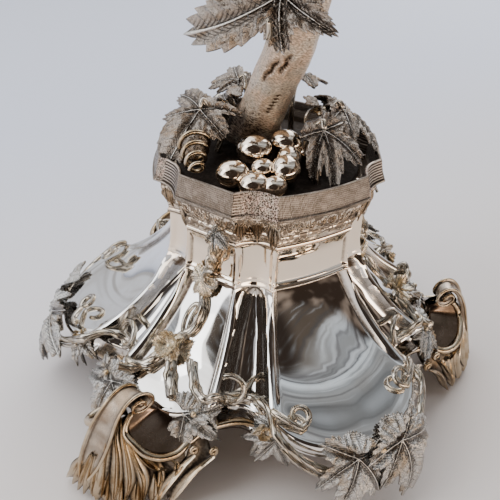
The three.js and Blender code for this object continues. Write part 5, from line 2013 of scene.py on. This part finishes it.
@dataclass
class Crown:
    """What the trunk carries: hub, three branches, ring, leaves and small bunches of grapes."""

    hub_z: float = 398.35
    ring_r: float = 84
    ring_z: float = 446
    branch: tuple[Pair, ...] = ((5, 407.35), (18, 406.6), (30, 407.35), (46, 410.6), (60, 416.35), (72, 426),
        (80, 434.6), (86.5, 437.6))

    def build(self) -> None:
        """Builds every piece of the crown."""
        cast = Cast()
        profile = ((0, 0), (5, 0), (9.5, 0.3), (12.2, 2), (13, 6), (12.4, 11), (12.8, 15), (11.4, 18.6), (7, 20),
            (0, 20))

        def place(u: float, v: float) -> Vector:
            """Point of the knobbed hub."""
            r, z = profile[round(v * 9)]
            angle = 360 * u
            knobs = 0.7 * cos(radians(5 * angle)) * (r > 9) - 0.7 * (r > 9)
            return polar(angle, r + knobs, self.hub_z + z)

        cast.sheet(60, 9, place, lambda u, v: 0.3 + 0.3 * cos(10 * pi * u), lambda u, v: (u, 2 * v))
        for lobe in LOBES.values():
            path = spline([polar(lobe, r, z) for r, z in self.branch], 1.3)
            cast.tube(path, lambda v: lerp(5, 3.6, v) * (1 + 0.16 * bump(v, 0.45, 0.03) + 0.14 * bump(v, 0.72, 0.03)),
                18, 0.07, 1.3, 0.4)
        cast.finish("crown_branches", Look.BARK, "crown", 60, slot=Slot.BARK)
        rope = Cast()
        loop = spline([polar(3 * k, self.ring_r, self.ring_z) for k in range(120)], 1.4, True)
        rope.tube(loop, lambda v: 3.7, 20, 0.08, 48, 0.7, True)
        for k in range(72):
            rope.ball(polar(5 * k, self.ring_r + 3.6, self.ring_z), (1.5, 1.5, 1.9), detail=2, shade=0.4)
        rope.finish("bowl_ring_rope", Look.GILT, "bowl_ring", 70, slot=Slot.POLISHED)
        for name, lobe in LOBES.items():
            spray = Spray()
            spot = polar(lobe + 9, 51, 411.5)
            VineLeaf(33, 1.08, 0.25, 0.07, lobe, rows=13).add(spray.leaves, lean_at(lobe + 9, spot, 40, 40))
            Stem(2, 1.6, knots=(0.5,)).add(spray.stems, [polar(lobe, 38, 408.5), polar(lobe + 5, 43, 412.5), spot])
            spray.finish(f"branch_leaf_{name}")
            self.bunch(lobe, f"branch_grapes_{name}")

    def bunch(self, lobe: float, name: str) -> None:
        """Builds the small bunch of grapes under one branch.

        Args:
            lobe: Plan angle of the branch.
            name: CAD node.
        """
        cast = Cast()
        top = self.hub_z - 6
        for drop, spread, count, radius in ((0, 0, 1, 4.4), (5, 5.2, 5, 4.3), (11.5, 5.6, 5, 4.2), (17.5, 3.4, 3, 4),
                (23, 0, 1, 3.6)):
            for k in range(count):
                turn = 2 * pi * (k / count) + drop
                spot = polar(lobe, 40, top - 2 - drop) + Vector((spread * cos(turn), spread * sin(turn), 0))
                cast.ball(spot, (radius, radius, radius * 1.12), detail=3, shade=0.5)
        cast.finish(f"{name}_berries", Look.POLISHED, name, slot=Slot.POLISHED)
        stalk = Cast()
        Stem(1.9, 1.4).add(stalk, [polar(lobe, 40, top + 10), polar(lobe, 39.3, top + 4), polar(lobe, 40, top - 2),
            polar(lobe, 40, top - 18)])
        stalk.finish(f"{name}_stalk", Look.STEM, name)


@dataclass
class Bowl:
    """The lift-out cut-glass bowl: diamond cuts, a star under its foot and a scalloped rim."""

    profile: tuple[Pair, ...] = ((34, 425.1), (66.9, 435.1), (80.9, 449.1), (94.9, 462.1), (114.8, 480.6),
        (128, 499.1))
    diamonds: int = 32
    tiers: int = 7
    wall: float = 4.4

    def outside(self, share: float) -> Pair:
        """Distance from the axis and height at a share of the way up the outside."""
        r, z = along_rows([(k / (len(self.profile) - 1), *row) for k, row in enumerate(self.profile)], share)
        return r, z

    def build(self) -> None:
        """Builds the bowl."""
        cast = Cast()
        columns, rows = self.diamonds * 6, 48

        def place(u: float, v: float) -> Vector:
            """Point of the cut outside or the smooth inside."""
            k = round(v * 2 * rows)
            share = min(k, 2 * rows - k) / rows
            r, z = self.outside(share)
            scallop = 1.8 * (1 - abs(cos(pi * self.diamonds / 2 * u))) * smooth(share, 0.9, 1)
            if k <= rows:
                a, b = u * self.diamonds, share * self.tiers
                facet = abs((a + b) % 1 - 0.5) + abs((a - b) % 1 - 0.5)
                cut = smooth(share, 0.26, 0.32) * (1 - smooth(share, 0.9, 0.95))
                flute = abs(sin(pi * self.diamonds / 2 * u)) * smooth(share, 0.02, 0.1)
                flute *= 1 - smooth(share, 0.2, 0.26)
                return polar(360 * u, r - 1.6 * cut * facet - 1.1 * flute, z - scallop)
            wall = self.wall * smooth(share, 0.1, 0.3) * (1 - 0.4 * smooth(share, 0.9, 1))
            lift = self.wall * (1 - smooth(share, 0.85, 1)) * (1 - smooth(share, 0.4, 0.9))
            return polar(360 * u, max(r - wall, 0), z + lift - scallop)

        cast.sheet(columns, 2 * rows, place)
        low, high = self.profile[0][1], self.profile[0][1] + self.wall

        def base(u: float, v: float) -> Vector:
            """Point of the star under the bowl."""
            star = 0.9 * abs(((u * 16) % 1) - 0.5) * sin(pi * min(v, 1))
            return polar(360 * u, self.profile[0][0] * v, low + star)

        cast.sheet(columns, 8, base)
        cast.sheet(columns, 8, lambda u, v: polar(360 * u, self.profile[0][0] * v, high))
        cast.finish("cut_glass_bowl", Look.GLASS, "glass_bowl", 8, slot=Slot.GLASS, body=Body.BOWL)


@dataclass
class Studio:
    """Camera, floor, lights and the surroundings that the silver mirrors."""

    axis: Vector
    eye: Vector = Vector((-201.9, -339.1, 364.6))
    target: Vector = Vector((0, 0, 124.2))
    right: Vector = Vector((0.8593, -0.5115, 0))
    roll: float = -3.22
    lens: float = 52.49
    shift: Pair = (-0.0291, -0.0749)

    def camera(self) -> None:
        """Sets the camera at the photograph's angle."""
        data = bpy.data.cameras.new("camera")
        data.lens = self.lens
        data.sensor_width = 36
        data.shift_x, data.shift_y = self.shift
        back = (self.eye - self.target).normalized()
        up = back.cross(self.right)
        turn = radians(self.roll)
        right = self.right * cos(turn) - up * sin(turn)
        up = self.right * sin(turn) + up * cos(turn)
        frame = Matrix((right, up, back)).transposed().to_4x4()
        frame.translation = self.axis + self.eye * MM
        camera = bpy.data.objects.new("camera", data)
        camera.matrix_world = frame
        bpy.context.scene.collection.objects.link(camera)
        bpy.context.scene.camera = camera

    def floor(self) -> None:
        """Lays the pale paper that the piece stands on."""
        bm = bmesh.new()
        bmesh.ops.create_grid(bm, x_segments=8, y_segments=8, size=4)
        mesh = bpy.data.meshes.new("floor")
        bm.to_mesh(mesh)
        bm.free()
        mesh.materials.append(Paper().material())
        floor = bpy.data.objects.new("floor", mesh)
        bpy.context.scene.collection.objects.link(floor)

    def lights(self) -> None:
        """Hangs soft rectangular lights: place and aim in metres from the axis, size in metres, power in watts."""
        middle = (0, 0, 0.12)
        for name, spot, aim, size, power, colour in (
                ("overhead", (-0.75, 0.3, 1.25), middle, (1.3, 1), 7, (1, 0.99, 0.98)),
                ("ceiling", (0.1, 1, 1.6), middle, (3, 2), 17, (0.98, 0.99, 1)),
                ("fill", (-1.1, -0.5, 0.2), middle, (0.8, 0.3), 2.5, (1, 0.86, 0.72)),
                ("front", (0.35, -1.2, 0.1), (0, 0, 0.02), (1.6, 0.2), 8, (1, 0.8, 0.62)),
                ("left", (-1.2, 0.1, 0.75), middle, (0.5, 1.1), 6, (0.95, 0.97, 1)),
                ("right", (1.1, 0.75, 0.8), middle, (0.9, 0.9), 8, (1, 0.98, 0.95))):
            data = bpy.data.lights.new(name, "AREA")
            data.shape = "RECTANGLE"
            data.size, data.size_y = size
            data.energy = power
            data.color = colour
            light = bpy.data.objects.new(name, data)
            light.location = self.axis + Vector(spot)
            light.rotation_euler = (Vector(aim) - Vector(spot)).to_track_quat("-Z", "Y").to_euler()
            bpy.context.scene.collection.objects.link(light)

    def surroundings(self) -> None:
        """Sets a room: pale walls and ceiling with bands of shade, and a dark place where the camera stands."""
        world = bpy.data.worlds.new("room")
        bpy.context.scene.world = world
        net = Net(world)
        way = net.node("TexCoord", {}, "Generated")
        x, y, z = (net.part(way, name) for name in "XYZ")

        def cloud(scale: Triple, size: float, detail: float = 4) -> Signal:
            """Noise over stretched directions."""
            stretched = net.node("Mapping", {"Vector": way, "Scale": scale})
            return net.node("TexNoise", {"Vector": stretched, "Scale": size, "Detail": detail})

        bands = cloud((0.7, 0.7, 6), 2.2, 1.5)
        blotch = cloud((1, 1, 1.6), 3.4, 2.5)
        room = net.mix(blotch.step(0.44, 0.6), (0.035, 0.024, 0.018), (0.3, 0.235, 0.19))
        wall = net.mix(bands.step(0.42, 0.6), (0.46, 0.45, 0.46), (0.72, 0.74, 0.8))
        front = (x * 0.62 - y * 0.78).step(-0.2, 0.5)
        low = net.mix(front, wall, room)
        streak = y * 0.6 + z * 0.6 + x * 0.3 + 0.2 + (bands - 0.5) * 0.12
        sky = net.node("ValToRGB", {0: streak}, stops=STREAKS)
        thread = net.stretched_noise(streak * 26, x * 1.6 - y)
        sky = net.mix(thread.step(0.54, 0.68) * 0.5, sky, (0.85, 0.92, 1))
        sky = net.mix(thread.step(0.46, 0.34) * 0.6, sky, (0.07, 0.07, 0.075))
        shade = net.mix(z.step(0.42, 0.52), low, sky)
        near = (x * -0.437 - y * 0.734 + z * 0.52).step(0.76, 0.87)
        patch = near * blotch.step(0.9, 0.6)
        shade = net.mix(patch * 0.95, shade, (0.03, 0.022, 0.018))
        net.close(net.node("Background", {"Color": shade, "Strength": 1.1}), "OutputWorld")

    def build(self) -> None:
        """Sets up the whole studio."""
        self.camera()
        self.floor()
        self.lights()
        self.surroundings()


def main() -> None:
    """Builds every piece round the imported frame."""
    logging.basicConfig(level=logging.INFO, format="%(name)s: %(message)s")
    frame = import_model()
    low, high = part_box("crown_stud")
    Cast.axis = Vector(((low.x + high.x) / 2, (low.y + high.y) / 2, 0))
    LOG.info("axis at %.5f %.5f", *Cast.axis.xy)
    Studio(Cast.axis).build()
    plan = BasePlan()
    Shell(plan).build()
    PlinthBand(plan).build()
    mound = Mound(plan)
    mound.build()
    Undergrowth(mound).build()
    Fronds(plan).build()
    Trunk().build()
    for (name, foot), sway in zip(FEET.items(), (-11, 8, 0)):
        Foot(plan, foot, f"foot_{name}", sway).build()
        FootVine(plan, foot, f"foot_vine_{name}").build()
        Garland(plan, foot, -1, f"garland_{name}_a", 7 if name == "left" else 0).build()
        Garland(plan, foot, 1, f"garland_{name}_b").build()
    for name, lobe in LOBES.items():
        TipLeaves(plan, lobe, f"tip_leaves_{name}").build()
    Crown().build()
    Bowl().build()
    slots = {row["node"]: row["material_slot"] for row in frame["record"]["subparts"]}
    looks = {Slot.POLISHED: Look.POLISHED, Slot.FROSTED: Look.FROSTED, Slot.ENGRAVED: Look.BAND, Slot.BARK: Look.BARK,
        Slot.BRASS: Look.BRASS, Slot.GLASS: Look.GLASS}
    for name, node in frame["nodes"].items():
        node.data.materials.clear()
        node.data.materials.append(looks[Slot(slots[name])].value.material())
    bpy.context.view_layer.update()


if __name__ == "__main__":
    main()
